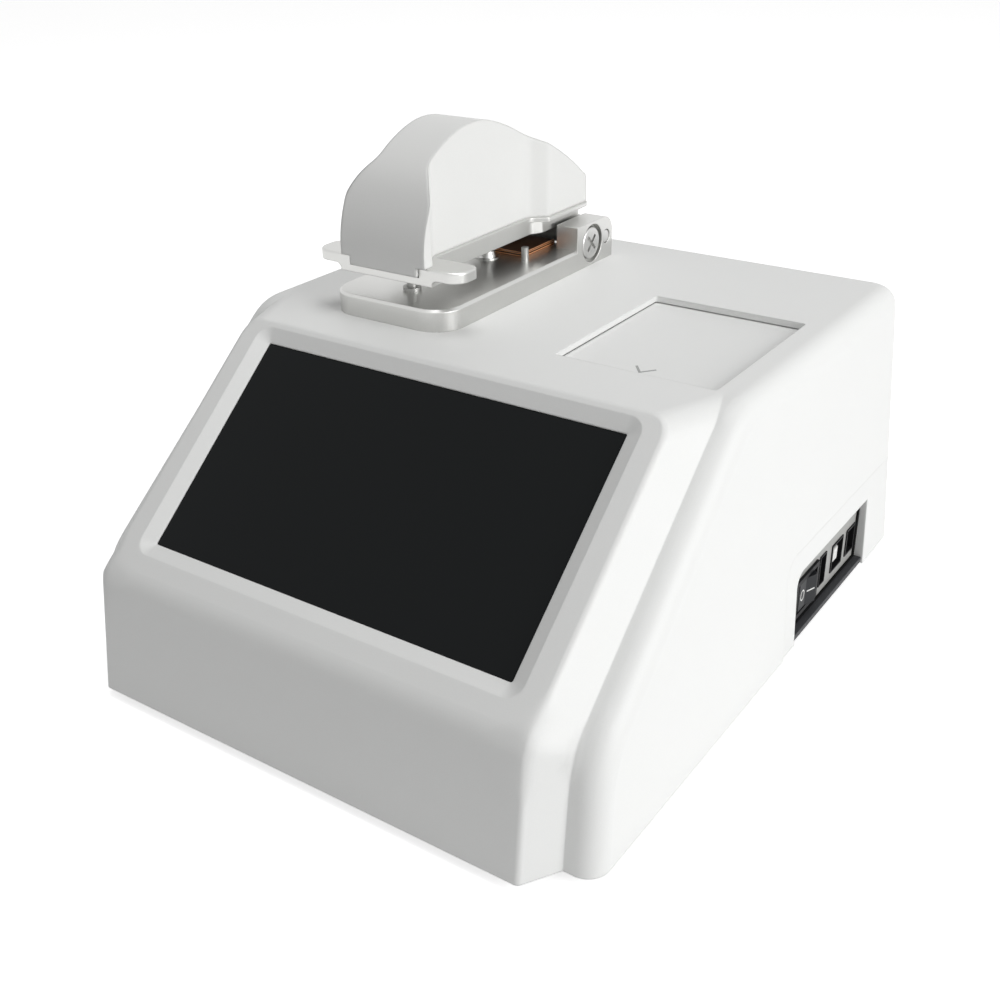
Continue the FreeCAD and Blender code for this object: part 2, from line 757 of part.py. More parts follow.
def rocker_switch_body():
    """Switch case with a bezel in front of the panel, a cavity for the rocker and two pin holes."""
    half_y = rocker_half_y + rocker_case_wall
    half_z = rocker_half_z
    inner_y = rocker_radius + rocker_gap
    inner_z = rocker_half_z - rocker_case_wall
    centre = V(rocker_pivot_x, rocker_y, rocker_z - inner_z)
    case = box(panel_x - 18, panel_x, rocker_y - half_y, rocker_y + half_y, rocker_z - half_z, rocker_z + half_z)
    bezel = box(panel_x, panel_x + 1.2, rocker_y - half_y - 1, rocker_y + half_y + 1,
                rocker_z - half_z - 1, rocker_z + half_z + 1)
    cavity = rod(inner_y, centre, Z, 2 * inner_z).common(box(rocker_pivot_x - 4.5, 200, -200, 200, 0, 100))
    mouth = box(rocker_pivot_x, panel_x + 2, rocker_y - inner_y, rocker_y + inner_y,
                rocker_z - inner_z, rocker_z + inner_z)
    pins = rod(1.0 + pin_clear, V(rocker_pivot_x, rocker_y, rocker_z - half_z + 0.15), Z, 2 * half_z - 0.3)
    return join([case, bezel]).cut([cavity, mouth, pins])


def rail_middles():
    """X places of the two rails' webs."""
    offset = lid_side_lap + rail_gap + rail_width / 2
    return [lid_x0 - offset, lid_x1 + offset]


def lid_rails():
    """L-shaped rails under the top skin, whose lips carry the lid."""
    shapes = []
    for x, inward in zip(rail_middles(), (1, -1)):
        low = lid_bottom - rail_gap - rail_lip
        web = box(x - rail_width / 2, x + rail_width / 2, rail_front, rail_back, low, ceiling)
        tip = x + inward * (rail_width / 2 + rail_reach)
        lip = box(min(x, tip), max(x, tip), rail_front, rail_back, low, low + rail_lip)
        holes = [rod(0.9 + screw_clear, V(x, y, low - 1), Z, 10) for y in rail_screw_places]
        shapes.append(web.fuse(lip).removeSplitter().cut(holes))
    return shapes


def rail_screws():
    low = lid_bottom - rail_gap - rail_lip
    length = ceiling + 1.4 - low
    return [screw(1.9, 1.3, 0.9, length, V(x, y, low), Z) for x in rail_middles() for y in rail_screw_places]


def cuvette_lid():
    """Sliding lid with a stiffening rib across its back end."""
    lid = lid_slab(0, 0, lid_bottom, lid_top)
    rib_y = lid_y1 + lid_end_lap - 4
    x0 = lid_x0 + rail_reach + 2
    x1 = lid_x1 - rail_reach - 2
    return lid.fuse(box(x0, x1, rib_y, rib_y + 2, lid_bottom - 1.8, lid_bottom)).removeSplitter()


def cuvette_holder():
    """Block with a square well, a wide top flange and light paths at the beam height."""
    block = box(well_x - holder_half, well_x + holder_half, well_y - holder_half, well_y + holder_half,
                chassis_top, holder_top)
    flange = rounded_plate(flange_half + 8, flange_half, 4, V(well_x, well_y, holder_top - flange_thickness),
                           flange_thickness)
    foot = rounded_plate(holder_half + 8, holder_half - 4, 3, V(well_x, well_y, chassis_top), 4)
    holder = join([block, flange, foot])
    half = well_size / 2
    well = box(well_x - half, well_x + half, well_y - half, well_y + half, holder_top - well_depth, holder_top + 1)
    funnel = box(well_x - half, well_x + half, well_y - half, well_y + half, holder_top - 1.5, holder_top + 1)
    funnel = funnel.fuse(box(well_x - half - 0.8, well_x + half + 0.8, well_y - half - 0.8, well_y + half + 0.8,
                             holder_top - 0.8, holder_top + 1))
    beam = rod(3.0, V(well_x, well_y - holder_half - 1, beam_height), Y, 2 * holder_half + 2)
    holes = [small_hole(V(x, well_y, chassis_top - 1), Z, 6) for x in holder_screw_xs()]
    tube_room = rod(tube_radius + tube_clear, V(well_x, well_y + holder_half, beam_height), Y, flange_half)
    return holder.cut([well, funnel, beam, tube_room] + holes)


def holder_screw_xs():
    return [well_x - holder_half - 4.5, well_x + holder_half + 4.5]


def holder_screws():
    return [small_screw(V(x, well_y, chassis_top + 4), Z * -1, 7) for x in holder_screw_xs()]


def lens_tube():
    y0 = well_y + holder_half
    tube = rod(tube_radius, V(well_x, y0, beam_height), Y, lamp_y0 - y0)
    return tube.cut(rod(3.5, V(well_x, y0 - 1, beam_height), Y, lamp_y0 - y0 + 2))


def lamp_module():
    """Lamp housing with cooling fins along its top."""
    lamp_top = chassis_top + lamp_height
    body = box(well_x - lamp_half, well_x + lamp_half, lamp_y0, lamp_y1, chassis_top, lamp_top)
    grooves = [box(x, x + 2, lamp_y0 - 1, lamp_y1 + 1, lamp_top - lamp_fin, lamp_top + 1)
               for x in [well_x - lamp_half + 3 + 4 * i for i in range(8)]]
    port = rod(3.5, V(well_x, lamp_y0 - 1, beam_height), Y, 8)
    return body.cut(grooves + [port])


def detector_board():
    """Detector on a small board against the front of the cuvette holder."""
    y1 = well_y - holder_half
    board = box(well_x - detector_half, well_x + detector_half, y1 - detector_can - board_thickness, y1 - detector_can,
                beam_height - 15, holder_top - flange_thickness)
    return board.fuse(rod(4.5, V(well_x, y1 - detector_can, beam_height), Y, detector_can))


def optics_chassis():
    """Stiff plate that carries the spectrometer, the cuvette holder and the lamp."""
    y1 = chassis_y1
    plate = rounded_plate(chassis_x, y1 / 2, 6, V(0, y1 / 2, chassis_z), chassis_thickness)
    holes = [rod(2.1, V(x, y, chassis_z - 1), Z, 6) for x, y in pillars]
    holes += [small_hole(V(x, well_y, chassis_z - 1), Z, 6) for x in holder_screw_xs()]
    slots = [rounded_plate(4, 30, 3.9, V(x, well_y + 5.6, chassis_z - 1), 6) for x in (12, 26)]
    return plate.cut(holes + slots)


def chassis_pillars():
    shapes = []
    for x, y in pillars:
        post = rod(5.0, V(x, y, floor_z), Z, chassis_z - floor_z)
        post = post.cut([rod(2.1, V(x, y, chassis_z - 12), Z, 13), small_hole(V(x, y, floor_z - 1), Z, 9)])
        shapes.append(post)
    return shapes


def chassis_screws():
    return [screw(3.6, 2.4, 2.0, 12, V(x, y, chassis_top), Z * -1) for x, y in pillars]


def pillar_screws():
    places = pillars + board_corners
    return [small_screw(V(x, y, foot_height), Z, 5.5) for x, y in places]


def spectrometer_module():
    """Closed optical bench with a stepped lid and an entry collar for the fibre."""
    x1 = module_x0 + module_width
    y1 = module_y0 + module_length
    seam = chassis_top + module_height - module_lid
    body = box(module_x0, x1, module_y0, y1, chassis_top, seam)
    body = round_uprights(body, [(x, y, 4) for x in (module_x0, x1) for y in (module_y0, y1)])
    middle_point = V(module_x0 + module_width / 2, module_y0 + module_length / 2, seam)
    lid = rounded_plate(module_width / 2 - 2, module_length / 2 - 2, 4, middle_point, module_lid)
    return join([body, lid])


def lower_fibre():
    z = chassis_top + module_height
    return rod(fibre_radius, base_point(0, pedestal_y, z), Z, ceiling - 2 - z)


def main_board():
    """Main circuit board with its processor can, cooler and plug rows."""
    z = floor_z + board_height
    plate = box(board_x0, board_x1, board_y0, board_y1, z, z + board_thickness)
    plate = plate.cut([small_hole(V(x, y, z - 1), Z, 4) for x, y in board_corners])
    top_z = z + board_thickness
    can = box(can_x, can_x + can_size, can_y, can_y + can_size, top_z, top_z + 3)
    cooler = box(cooler_x, cooler_x + can_size, can_y, can_y + can_size, top_z, top_z + 4)
    fins = [box(cooler_x + 4 * i, cooler_x + 4 * i + 1.5, can_y, can_y + can_size, top_z + 4, top_z + 12)
            for i in range(cooler_fins)]
    plugs = [box(x, x + plug_length, plug_y, plug_y + 8, top_z, top_z + 7) for x in plug_xs]
    return join([plate, can, cooler] + fins + plugs)


def board_standoffs():
    shapes = []
    for x, y in board_corners:
        post = rod(3.0, V(x, y, floor_z), Z, board_height)
        shapes.append(post.cut(small_hole(V(x, y, floor_z - 1), Z, board_height + 2)))
    return shapes


def board_screws():
    seat = floor_z + board_height + board_thickness
    return [small_screw(V(x, y, seat), Z * -1, 4) for x, y in board_corners]


def connector_board():
    z = floor_z + connector_board_height
    plate = box(connector_board_x0, sleeve_x, host_y - 5, bay_y1 - 1.5, z, z + board_thickness)
    return plate.cut([small_hole(V(x, y, z - 1), Z, 4) for x, y in connector_screws])


def connector_board_screws():
    seat = floor_z + connector_board_height + board_thickness
    return [small_screw(V(x, y, seat), Z * -1, 5) for x, y in connector_screws]


def pedestal_base():
    """Machined base plate with two hinge cheeks, a slot for the arm's lug and the pedestal bore."""
    plate = box(arm_x - base_half, arm_x + base_half, base_front, base_back, top, base_top)
    plate = round_uprights(plate, [(arm_x + s * base_half, base_front, base_corner) for s in (-1, 1)])
    plate = plate.makeChamfer(base_edge, edges_where(plate, lambda e: abs(middle(e).z - base_top) < 0.01))
    cheeks = []
    for s in (-1, 1):
        x0 = arm_x + s * base_half
        x1 = arm_x + s * (base_half - cheek_width)
        cheek = box(min(x0, x1), max(x0, x1), cheek_front, base_back, top, base_top + cheek_height)
        rear = edges_where(cheek, lambda e: abs(middle(e).y - base_back) < 0.01
                           and abs(middle(e).z - base_top - cheek_height) < 0.01)
        cheeks.append(cheek.makeFillet(cheek_corner, rear))
    body = join([plate] + cheeks)
    slot_half = base_half - cheek_width
    slot = box(arm_x - slot_half, arm_x + slot_half, slot_front, base_back + 1, top + slot_floor, base_top + 1)
    bores = [rod(pin_radius + pin_clear, base_point(-40, hinge_y, hinge_z), X, 80)]
    for s in (-1, 1):
        face = base_point(s * (base_half + 1), cheek_screw_y, top + cheek_screw_rise)
        bores.append(rod(cheek_bore_radius, face, X * -s, cheek_bore_depth + 1))
        bores.append(rod(3.0 + screw_clear, face, X * -s, 8))
    bores.append(rod(5.0 + screw_clear, base_point(0, pedestal_y, top - 1), Z, base_thickness + 2))
    bores += [rod(2.0 + screw_clear, base_point(x, y, top - 1), Z, 7.4) for x, y in base_screws]
    bores += [rod(r, base_point(x, y, base_top - 4), Z, 5) for x, y, r in rest_places()]
    return body.cut([slot] + bores)


def rest_places():
    """Place and radius of each pin that the arm rests on, from the arm's middle line."""
    pins = [(s * rest_pin_offset, rest_pin_y, rest_pin_radius) for s in (-1, 1)]
    return pins + [(0, front_post_y, front_post_radius)]


def pedestal_base_screws():
    return [screw(3.5, 2.4, 2.0, wall + 5.6, base_point(x, y, ceiling), Z) for x, y in base_screws]


def rest_pins():
    """Two short plain pins, one at each side of the sample spot, pressed into the base."""
    length = 4 + rest_pin_height
    return [rod(r, base_point(x, y, base_top - 4), Z, length) for x, y, r in rest_places()[:2]]


def front_rest_post():
    x, y, r = rest_places()[2]
    post = rod(r, base_point(x, y, base_top - 4), Z, 4 + arm_gap)
    collar = rod(r + 1.5, base_point(x, y, base_top), Z, 1.2)
    return join([post, collar])


def lower_pedestal():
    """Stepped steel pedestal with the sample tip that the drop sits on."""
    tip_top = lower_tip_top()
    flange = rod(8.0, base_point(0, pedestal_y, ceiling - 2), Z, 2)
    shaft = rod(5.0, base_point(0, pedestal_y, ceiling - 1), Z, base_top - ceiling + 1.4)
    neck = Part.makeCone(4.0, 3.2, 2.4, base_point(0, pedestal_y, base_top + 0.4), Z)
    tip = rod(sample_radius, base_point(0, pedestal_y, base_top), Z, tip_top - base_top)
    return join([flange, shaft, neck, tip])


def lower_tip_top():
    return plate_z - 2.4 - sample_gap


def flex_fold():
    """Folded flat cable that lies on the base behind the pedestal, with its bend at the back."""
    points = [(fold_front, base_top), (fold_back, base_top), (fold_back, base_top + fold_height),
              (fold_front, base_top + fold_height)]
    slab = side_prism(points, arm_x - fold_half, arm_x + fold_half)
    bend = edges_where(slab, lambda e: abs(middle(e).y - fold_back) < 0.01 and e.Length > fold_half)
    slab = slab.makeFillet(fold_height * 0.45, bend)
    gap = box(arm_x - fold_half - 1, arm_x + fold_half + 1, fold_front - 1, fold_back - 2.5,
              base_top + fold_height * 0.4, base_top + fold_height * 0.6)
    return slab.cut(gap)


def hinge_pin():
    length = 2 * base_half - 0.6
    pin = rod(pin_radius, base_point(-length / 2, hinge_y, hinge_z), X, length)
    return pin.makeChamfer(0.5, edges_where(pin, lambda e: e.Length > 12 and len(e.Vertexes) == 1))


def cheek_screws():
    """Large cross-recessed screw in the counterbore of each cheek."""
    shapes = []
    for s in (-1, 1):
        seat = base_point(s * (base_half - cheek_bore_depth), cheek_screw_y, top + cheek_screw_rise)
        body = screw(cheek_screw_radius, 2.2, 3.0, 4.2, seat, X * -s)
        bars = []
        for turn in (45, 135):
            bar = box(-4.2, 4.2, -0.7, 0.7, -1.2, 1.2)
            bar.rotate(V(0, 0, 0), Z, turn)
            bar.rotate(V(0, 0, 0), Y, 90)
            bar.translate(seat + X * (s * 2.2))
            bars.append(bar)
        shapes.append(body.cut(bars))
    return shapes


def widening(half_front, half_rear, y0, y1, za, zb, rear_corner):
    """Plate whose sides step out in a smooth curve towards the back."""
    a = half_front
    b = half_rear
    left = [(arm_x - a, y0), (arm_x - a, arm_widen_front), (arm_x - b, arm_widen_back), (arm_x - b, y1)]
    right = [(2 * arm_x - x, y) for x, y in reversed(left)]
    plate = plan_prism(left + right, za, zb)
    inside = [(arm_x + s * a, arm_widen_front, 4.0) for s in (-1, 1)]
    outside = [(arm_x + s * b, arm_widen_back, 2.0) for s in (-1, 1)]
    rear = [(arm_x + s * b, y1, rear_corner) for s in (-1, 1)]
    return round_uprights(plate, inside + outside + rear)


def arm_handle():
    """Front handle: a deep block in the middle and a thin wing on each side."""
    wing_z = plate_top - wing_height
    block = box(arm_x - block_half, arm_x + block_half, arm_front, wing_back, plate_z, plate_top)
    wings = box(arm_x - wing_half, arm_x + wing_half, arm_front, wing_back, wing_z, plate_top)
    corners = [(arm_x + s * wing_half, arm_front, 6.0) for s in (-1, 1)]
    corners += [(arm_x + s * wing_half, wing_back, 4.0) for s in (-1, 1)]
    handle = join([block, round_uprights(wings, corners)])
    roots = edges_where(handle, lambda e: abs(abs(middle(e).x - arm_x) - block_half) < 0.02
                        and abs(middle(e).z - wing_z) < 0.02)
    handle = handle.makeFillet(plate_height - wing_height - 0.1, roots)
    tips = edges_where(handle, lambda e: abs(middle(e).x - arm_x) > block_half + wing_root_radius
                       and abs(middle(e).z - plate_top) < 0.02)
    return handle.makeFillet(0.8, tips)


def arm_plate():
    """Machined arm: handle, plate, raised rim under the cover and the hinge lug."""
    body = widening(arm_half, arm_rear_half, arm_front + 5, arm_back, plate_z, plate_top, 3.0)
    rim = widening(arm_half, rim_half, arm_front + 5, rim_back, plate_top - rim_height, plate_top, 4.0)
    lug = rod(lug_radius, base_point(-arm_rear_half, hinge_y, hinge_z), X, 2 * arm_rear_half)
    web = side_prism([(hinge_y - lug_radius, hinge_z), (hinge_y - 9, plate_z + 1), (arm_back - 1, plate_z + 1),
                      (hinge_y + lug_radius - 0.4, hinge_z)], arm_x - arm_rear_half, arm_x + arm_rear_half)
    arm = join([body, rim, arm_handle(), lug, web])
    notch = box(arm_x - tab_half, arm_x + tab_half, arm_front - 1, cover_front + tab_depth + tab_clear,
                plate_z + tab_rise, plate_top + 1)
    cuts = [notch, rod(bush_radius, base_point(-40, hinge_y, hinge_z), X, 80)]
    cuts.append(rod(5.0, base_point(0, pedestal_y, plate_z - 1), Z, plate_height + 2))
    for y in cover_screws:
        cuts.append(rod(1.4 + screw_clear, base_point(0, y, plate_z - 1), Z, plate_height + 2))
        cuts.append(rod(3.0, base_point(0, y, plate_z - 1), Z, 3.4))
    return arm.cut(cuts)


def hinge_bushes():
    """Flanged bush at each end of the arm's lug."""
    shapes = []
    for s in (-1, 1):
        face = base_point(s * arm_rear_half, hinge_y, hinge_z)
        bush = rod(bush_radius, face, X * -s, bush_length).fuse(rod(lug_radius - 0.4, face, X * s, bush_flange))
        shapes.append(bush.removeSplitter().cut(rod(pin_radius + pin_clear, base_point(-40, hinge_y, hinge_z), X, 80)))
    return shapes


def cover_side(inset, bottom):
    """Side outline of the cover, set in by a wall: steep front, crown, then a long fall to the hinge."""
    crown = [(cover_front, 0), (-24.6, 8.5), (-21.5, 18.6), (-14.5, 30.0), (-3.0, 38.1), (14.0, 43.8),
             (22.0, cover_top), (38.0, 40.2), (58.0, 31.0), (78.0, 19.8), (88.0, 12.6)]
    outside = Part.BSplineCurve()
    outside.interpolate([V(arm_x, y, plate_top + z) for y, z in crown])
    points = []
    for i in range(crown_steps + 1):
        at = outside.FirstParameter + (outside.LastParameter - outside.FirstParameter) * i / crown_steps
        run = outside.tangent(at)[0]
        points.append(outside.value(at) + V(0, run.z, -run.y) * inset)
    curve = Part.BSplineCurve()
    curve.interpolate(points)
    rear = cover_back - inset
    shoulder = V(arm_x, rear, plate_top + 9.5 - inset)
    turn = Part.Arc(points[-1], V(arm_x, rear - 0.7, plate_top + 11.2 - inset), shoulder).toShape()
    low_back = V(arm_x, rear, bottom)
    low_front = V(arm_x, points[0].y, bottom)
    edges = [curve.toShape(), turn, Part.makeLine(shoulder, low_back), Part.makeLine(low_back, low_front)]
    if bottom < points[0].z - 0.01:
        edges.append(Part.makeLine(low_front, points[0]))
    return Part.Face(Part.Wire(edges))


def cover_plan(grow):
    """Top outline of the cover: wide shield in front, narrow waist and wide hinge end."""
    front_half = cover_wide_half + grow
    waist = cover_half + grow
    rear = cover_rear_half + grow
    right = [(front_half, cover_front - grow), (front_half, -20.0), (waist, -10.0), (waist, 54.0),
             (rear, 61.0), (rear, cover_back + grow)]
    outline = [(arm_x + x, y) for x, y in right] + [(arm_x - x, y) for x, y in reversed(right)]
    prism = plan_prism(outline, plate_z, plate_top + 60)
    corners = []
    for s in (-1, 1):
        corners += [(arm_x + s * front_half, -20.0, 3.0), (arm_x + s * waist, -10.0, 8.0),
                    (arm_x + s * waist, 54.0, 8.0), (arm_x + s * rear, 61.0, 4.0)]
    prism = round_uprights(prism, corners)
    return prism


def arm_cover():
    """Hollow moulded cover made where its side outline and its top outline meet."""
    side = cover_side(0, plate_top).extrude(V(60, 0, 0))
    side.translate(V(-30, 0, 0))
    outer = side.common(cover_plan(0)).removeSplitter()
    core = cover_side(cover_wall, plate_top - cover_wall).extrude(V(60, 0, 0))
    core.translate(V(-30, 0, 0))
    core = core.common(cover_plan(-cover_wall))
    shell = outer.cut(core)
    tab = box(arm_x - tab_half + tab_clear, arm_x + tab_half - tab_clear, cover_front, cover_front + tab_depth,
              plate_z + tab_rise + tab_clear, plate_top + 2)
    bosses = [rod(3.2, base_point(0, y, plate_top), Z, cover_top) for y in cover_screws]
    shell = shell.multiFuse([tab] + [b.common(outer) for b in bosses]).removeSplitter()
    return shell.cut([small_hole(base_point(0, y, plate_top - 1), Z, 12) for y in cover_screws])


def arm_cover_screws():
    return [small_screw(base_point(0, y, plate_z + 2.4), Z, 12) for y in cover_screws]


def upper_pedestal():
    """Steel pedestal in the arm that comes down to the sample gap."""
    tip = rod(sample_radius, base_point(0, pedestal_y, lower_tip_top() + sample_gap), Z, 6)
    body = rod(5.0, base_point(0, pedestal_y, plate_z), Z, plate_height)
    flange = rod(8.0, base_point(0, pedestal_y, plate_top), Z, 1.5)
    return join([tip, body, flange])


def arm_optics_block():
    """Block in the arm that holds the upper fibre above the pedestal."""
    block = box(arm_x - 8.5, arm_x + 8.5, pedestal_y - 14, pedestal_y + 14, plate_top + 1.5, plate_top + 20)
    block = round_uprights(block, [(arm_x + s * 8.5, pedestal_y + t * 14, 2) for s in (-1, 1) for t in (-1, 1)])
    return block.fuse(rod(4.0, base_point(0, pedestal_y, plate_top + 20), Z, 8)).removeSplitter()


SUB_PARTS = [
    upper_housing, base_tray, rubber_feet, foot_screws, tray_screws,
    screen_glass, display_module, display_bracket, display_screws,
    connector_panel, panel_screws, rocker_switch_body, rocker_button,
    host_port, device_port, power_inlet, connector_board, connector_board_screws,
    main_board, board_standoffs, board_screws, pillar_screws,
    optics_chassis, chassis_pillars, chassis_screws, spectrometer_module, lower_fibre,
    cuvette_holder, holder_screws, lens_tube, lamp_module, detector_board,
    lid_rails, rail_screws, cuvette_lid,
    pedestal_base, pedestal_base_screws, lower_pedestal, flex_fold, rest_pins, front_rest_post,
    hinge_pin, cheek_screws, hinge_bushes, arm_plate, arm_cover, arm_cover_screws,
    upper_pedestal, arm_optics_block,
]

os.makedirs(OUT, exist_ok=True)
for build in SUB_PARTS:
    made = build()
    shape = Part.makeCompound(made) if isinstance(made, list) else made
    shape.exportStep(os.path.join(OUT, build.__name__ + ".step"))
    print(build.__name__, len(shape.Solids), round(shape.Volume), shape.isValid())
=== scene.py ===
# Microvolume spectrophotometer: a white moulded bench instrument with a sloping screen,
# a measuring arm over its pedestal and a sliding door over a cuvette well.
import bpy
import bmesh
import math
from mathutils import Matrix, Vector


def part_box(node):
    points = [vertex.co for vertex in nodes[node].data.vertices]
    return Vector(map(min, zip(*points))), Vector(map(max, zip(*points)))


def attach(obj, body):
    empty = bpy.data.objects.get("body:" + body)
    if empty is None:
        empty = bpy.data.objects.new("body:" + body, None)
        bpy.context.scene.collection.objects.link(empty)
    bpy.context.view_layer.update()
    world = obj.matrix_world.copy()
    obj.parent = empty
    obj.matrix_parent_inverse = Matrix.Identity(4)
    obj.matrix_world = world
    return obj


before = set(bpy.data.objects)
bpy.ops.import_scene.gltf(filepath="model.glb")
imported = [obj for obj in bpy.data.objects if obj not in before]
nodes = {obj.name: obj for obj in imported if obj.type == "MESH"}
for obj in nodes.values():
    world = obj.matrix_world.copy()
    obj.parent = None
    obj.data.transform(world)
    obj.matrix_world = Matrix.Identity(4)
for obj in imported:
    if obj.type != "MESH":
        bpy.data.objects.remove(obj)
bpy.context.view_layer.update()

# The bench, the light and the camera. The instrument stands on a pale bench in a white room,
# lit by a broad lamp at its right, one overhead and the room itself.
# The camera stands in front of it to the right and looks down at 28 degrees.
camera_place = (0.248108, -0.368481, 0.280027)
camera_turn = 34.765
camera_look_down = 27.554
camera_roll = -0.944
room_glow = 0.235
bench_half = 4.0
bench_lift = 0.70
object_middle = (0.0, 0.0, 0.06)


def new_object(name, data):
    """Object that holds some data, linked to the scene."""
    made = bpy.data.objects.new(name, data)
    bpy.context.scene.collection.objects.link(made)
    return made


camera_data = bpy.data.cameras.new("camera")
camera_data.sensor_width = 36.0
camera_data.lens = 44.989
camera_data.clip_start = 0.01
camera = new_object("camera", camera_data)
turn = Matrix.Rotation(math.radians(camera_turn), 4, "Z")
tilt = Matrix.Rotation(math.radians(90.0 - camera_look_down), 4, "X")
roll = Matrix.Rotation(math.radians(camera_roll), 4, "Z")
camera.matrix_world = Matrix.Translation(camera_place) @ turn @ tilt @ roll
bpy.context.scene.camera = camera
bpy.context.scene.view_settings.view_transform = "Standard"


def seen_directly(tree):
    """One where the camera, a reflection or a view through glass meets the surface, and else nought."""
    path = tree.nodes.new("ShaderNodeLightPath")
    mirrored = tree.nodes.new("ShaderNodeMath")
    mirrored.operation = "MAXIMUM"
    tree.links.new(path.outputs["Is Glossy Ray"], mirrored.inputs[0])
    tree.links.new(path.outputs["Is Transmission Ray"], mirrored.inputs[1])
    seen = tree.nodes.new("ShaderNodeMath")
    seen.operation = "MAXIMUM"
    tree.links.new(path.outputs["Is Camera Ray"], seen.inputs[0])
    tree.links.new(mirrored.outputs[0], seen.inputs[1])
    return seen.outputs[0]


# The room is white where it is seen and dimmer as a light, and the bench glows only where it is
# seen, so that the background is white and the instrument isn't washed out.
room = bpy.data.worlds.new("white room")
bpy.context.scene.world = room
room.use_nodes = True
room_tree = room.node_tree
walls = room_tree.nodes["Background"]
walls.inputs["Color"].default_value = (1.0, 1.0, 1.0, 1.0)
room_level = room_tree.nodes.new("ShaderNodeMapRange")
room_level.inputs["To Min"].default_value = room_glow
room_level.inputs["To Max"].default_value = 1.0
room_tree.links.new(seen_directly(room_tree), room_level.inputs["Value"])
room_tree.links.new(room_level.outputs["Result"], walls.inputs["Strength"])


def new_finish(name, colour, roughness, metallic=0.0):
    """Material whose shader has one colour and one roughness, and is metal or not."""
    material = bpy.data.materials.new(name)
    material.use_nodes = True
    shader = material.node_tree.nodes["Principled BSDF"]
    shader.inputs["Base Color"].default_value = (*colour, 1.0)
    shader.inputs["Roughness"].default_value = roughness
    shader.inputs["Metallic"].default_value = metallic
    return material


bench_mesh = bpy.data.meshes.new("bench")
bench_form = bmesh.new()
bmesh.ops.create_grid(bench_form, x_segments=8, y_segments=8, size=bench_half)
bench_form.to_mesh(bench_mesh)
bench_form.free()
bench = new_object("bench", bench_mesh)
bench_paint = new_finish("bench white", (0.82, 0.82, 0.82), roughness=0.9)
bench_tree = bench_paint.node_tree
bench_shader = bench_tree.nodes["Principled BSDF"]
bench_shader.inputs["Emission Color"].default_value = (1.0, 1.0, 1.0, 1.0)
lift = bench_tree.nodes.new("ShaderNodeMath")
lift.operation = "MULTIPLY"
lift.inputs[1].default_value = bench_lift
bench_tree.links.new(seen_directly(bench_tree), lift.inputs[0])
bench_tree.links.new(lift.outputs[0], bench_shader.inputs["Emission Strength"])
bench_mesh.materials.append(bench_paint)


def add_lamp(name, place, power, size):
    """Soft square lamp at a place, turned towards the middle of the instrument."""
    data = bpy.data.lights.new(name, "AREA")
    data.energy = power
    data.size = size
    lamp = new_object(name, data)
    direction = Vector(object_middle) - Vector(place)
    lamp.matrix_world = Matrix.Translation(place) @ direction.to_track_quat("-Z", "Y").to_matrix().to_4x4()


add_lamp("right lamp", (1.42, -0.10, 0.58), power=14.0, size=0.9)
add_lamp("overhead lamp", (0.05, 0.05, 1.50), power=7.4, size=0.8)

# Upper housing: one shell moulded in white plastic with a fine matt texture.
# It carries the screen, the pedestal base and the boards, and is screwed to the tray from below.
mm = 0.001
shell_white = (0.80, 0.805, 0.795)


def texture_group(name, inputs):
    """Empty texture group with its own inputs and the three outputs of each texture, and its end nodes."""
    tree = bpy.data.node_groups.new(name, "ShaderNodeTree")
    for label, kind, value in inputs:
        socket = tree.interface.new_socket(label, in_out="INPUT", socket_type="NodeSocket" + kind)
        socket.default_value = value
    for label, kind in (("Colour", "Color"), ("Roughness", "Float"), ("Height", "Float")):
        tree.interface.new_socket(label, in_out="OUTPUT", socket_type="NodeSocket" + kind)
    return tree, tree.nodes.new("NodeGroupInput"), tree.nodes.new("NodeGroupOutput")


def maths(tree, operation, first, second):
    """Output of a maths node whose inputs are sockets or numbers."""
    node = tree.nodes.new("ShaderNodeMath")
    node.operation = operation
    for place, value in enumerate((first, second)):
        if isinstance(value, (int, float)):
            node.inputs[place].default_value = value
        else:
            tree.links.new(value, node.inputs[place])
    return node.outputs[0]


def noise(tree, scale, detail, vector=None):
    """Noise over the object's own coordinates, with its scale given as a number or a socket."""
    node = tree.nodes.new("ShaderNodeTexNoise")
    node.inputs["Detail"].default_value = detail
    if isinstance(scale, (int, float)):
        node.inputs["Scale"].default_value = scale
    else:
        tree.links.new(scale, node.inputs["Scale"])
    if vector is None:
        vector = tree.nodes.new("ShaderNodeTexCoord").outputs["Object"]
    tree.links.new(vector, node.inputs["Vector"])
    return node.outputs["Fac"]


def swing(tree, signal, amount):
    """A noise moved to swing about nought, and scaled by an amount."""
    return maths(tree, "MULTIPLY", maths(tree, "SUBTRACT", signal, 0.5), amount)


def end_texture(tree, group_in, group_out, first_tone, second_tone, gloss_change, height):
    """Joins a group's outputs: its colour with two changes of tone, its changed gloss, and a height."""
    tone = maths(tree, "ADD", maths(tree, "ADD", first_tone, second_tone), 1.0)
    tinted = tree.nodes.new("ShaderNodeVectorMath")
    tinted.operation = "SCALE"
    tree.links.new(group_in.outputs["Colour"], tinted.inputs[0])
    tree.links.new(tone, tinted.inputs["Scale"])
    tree.links.new(tinted.outputs[0], group_out.inputs["Colour"])
    roughness = maths(tree, "ADD", gloss_change, group_in.outputs["Gloss"])
    tree.links.new(roughness, group_out.inputs["Roughness"])
    tree.links.new(height, group_out.inputs["Height"])


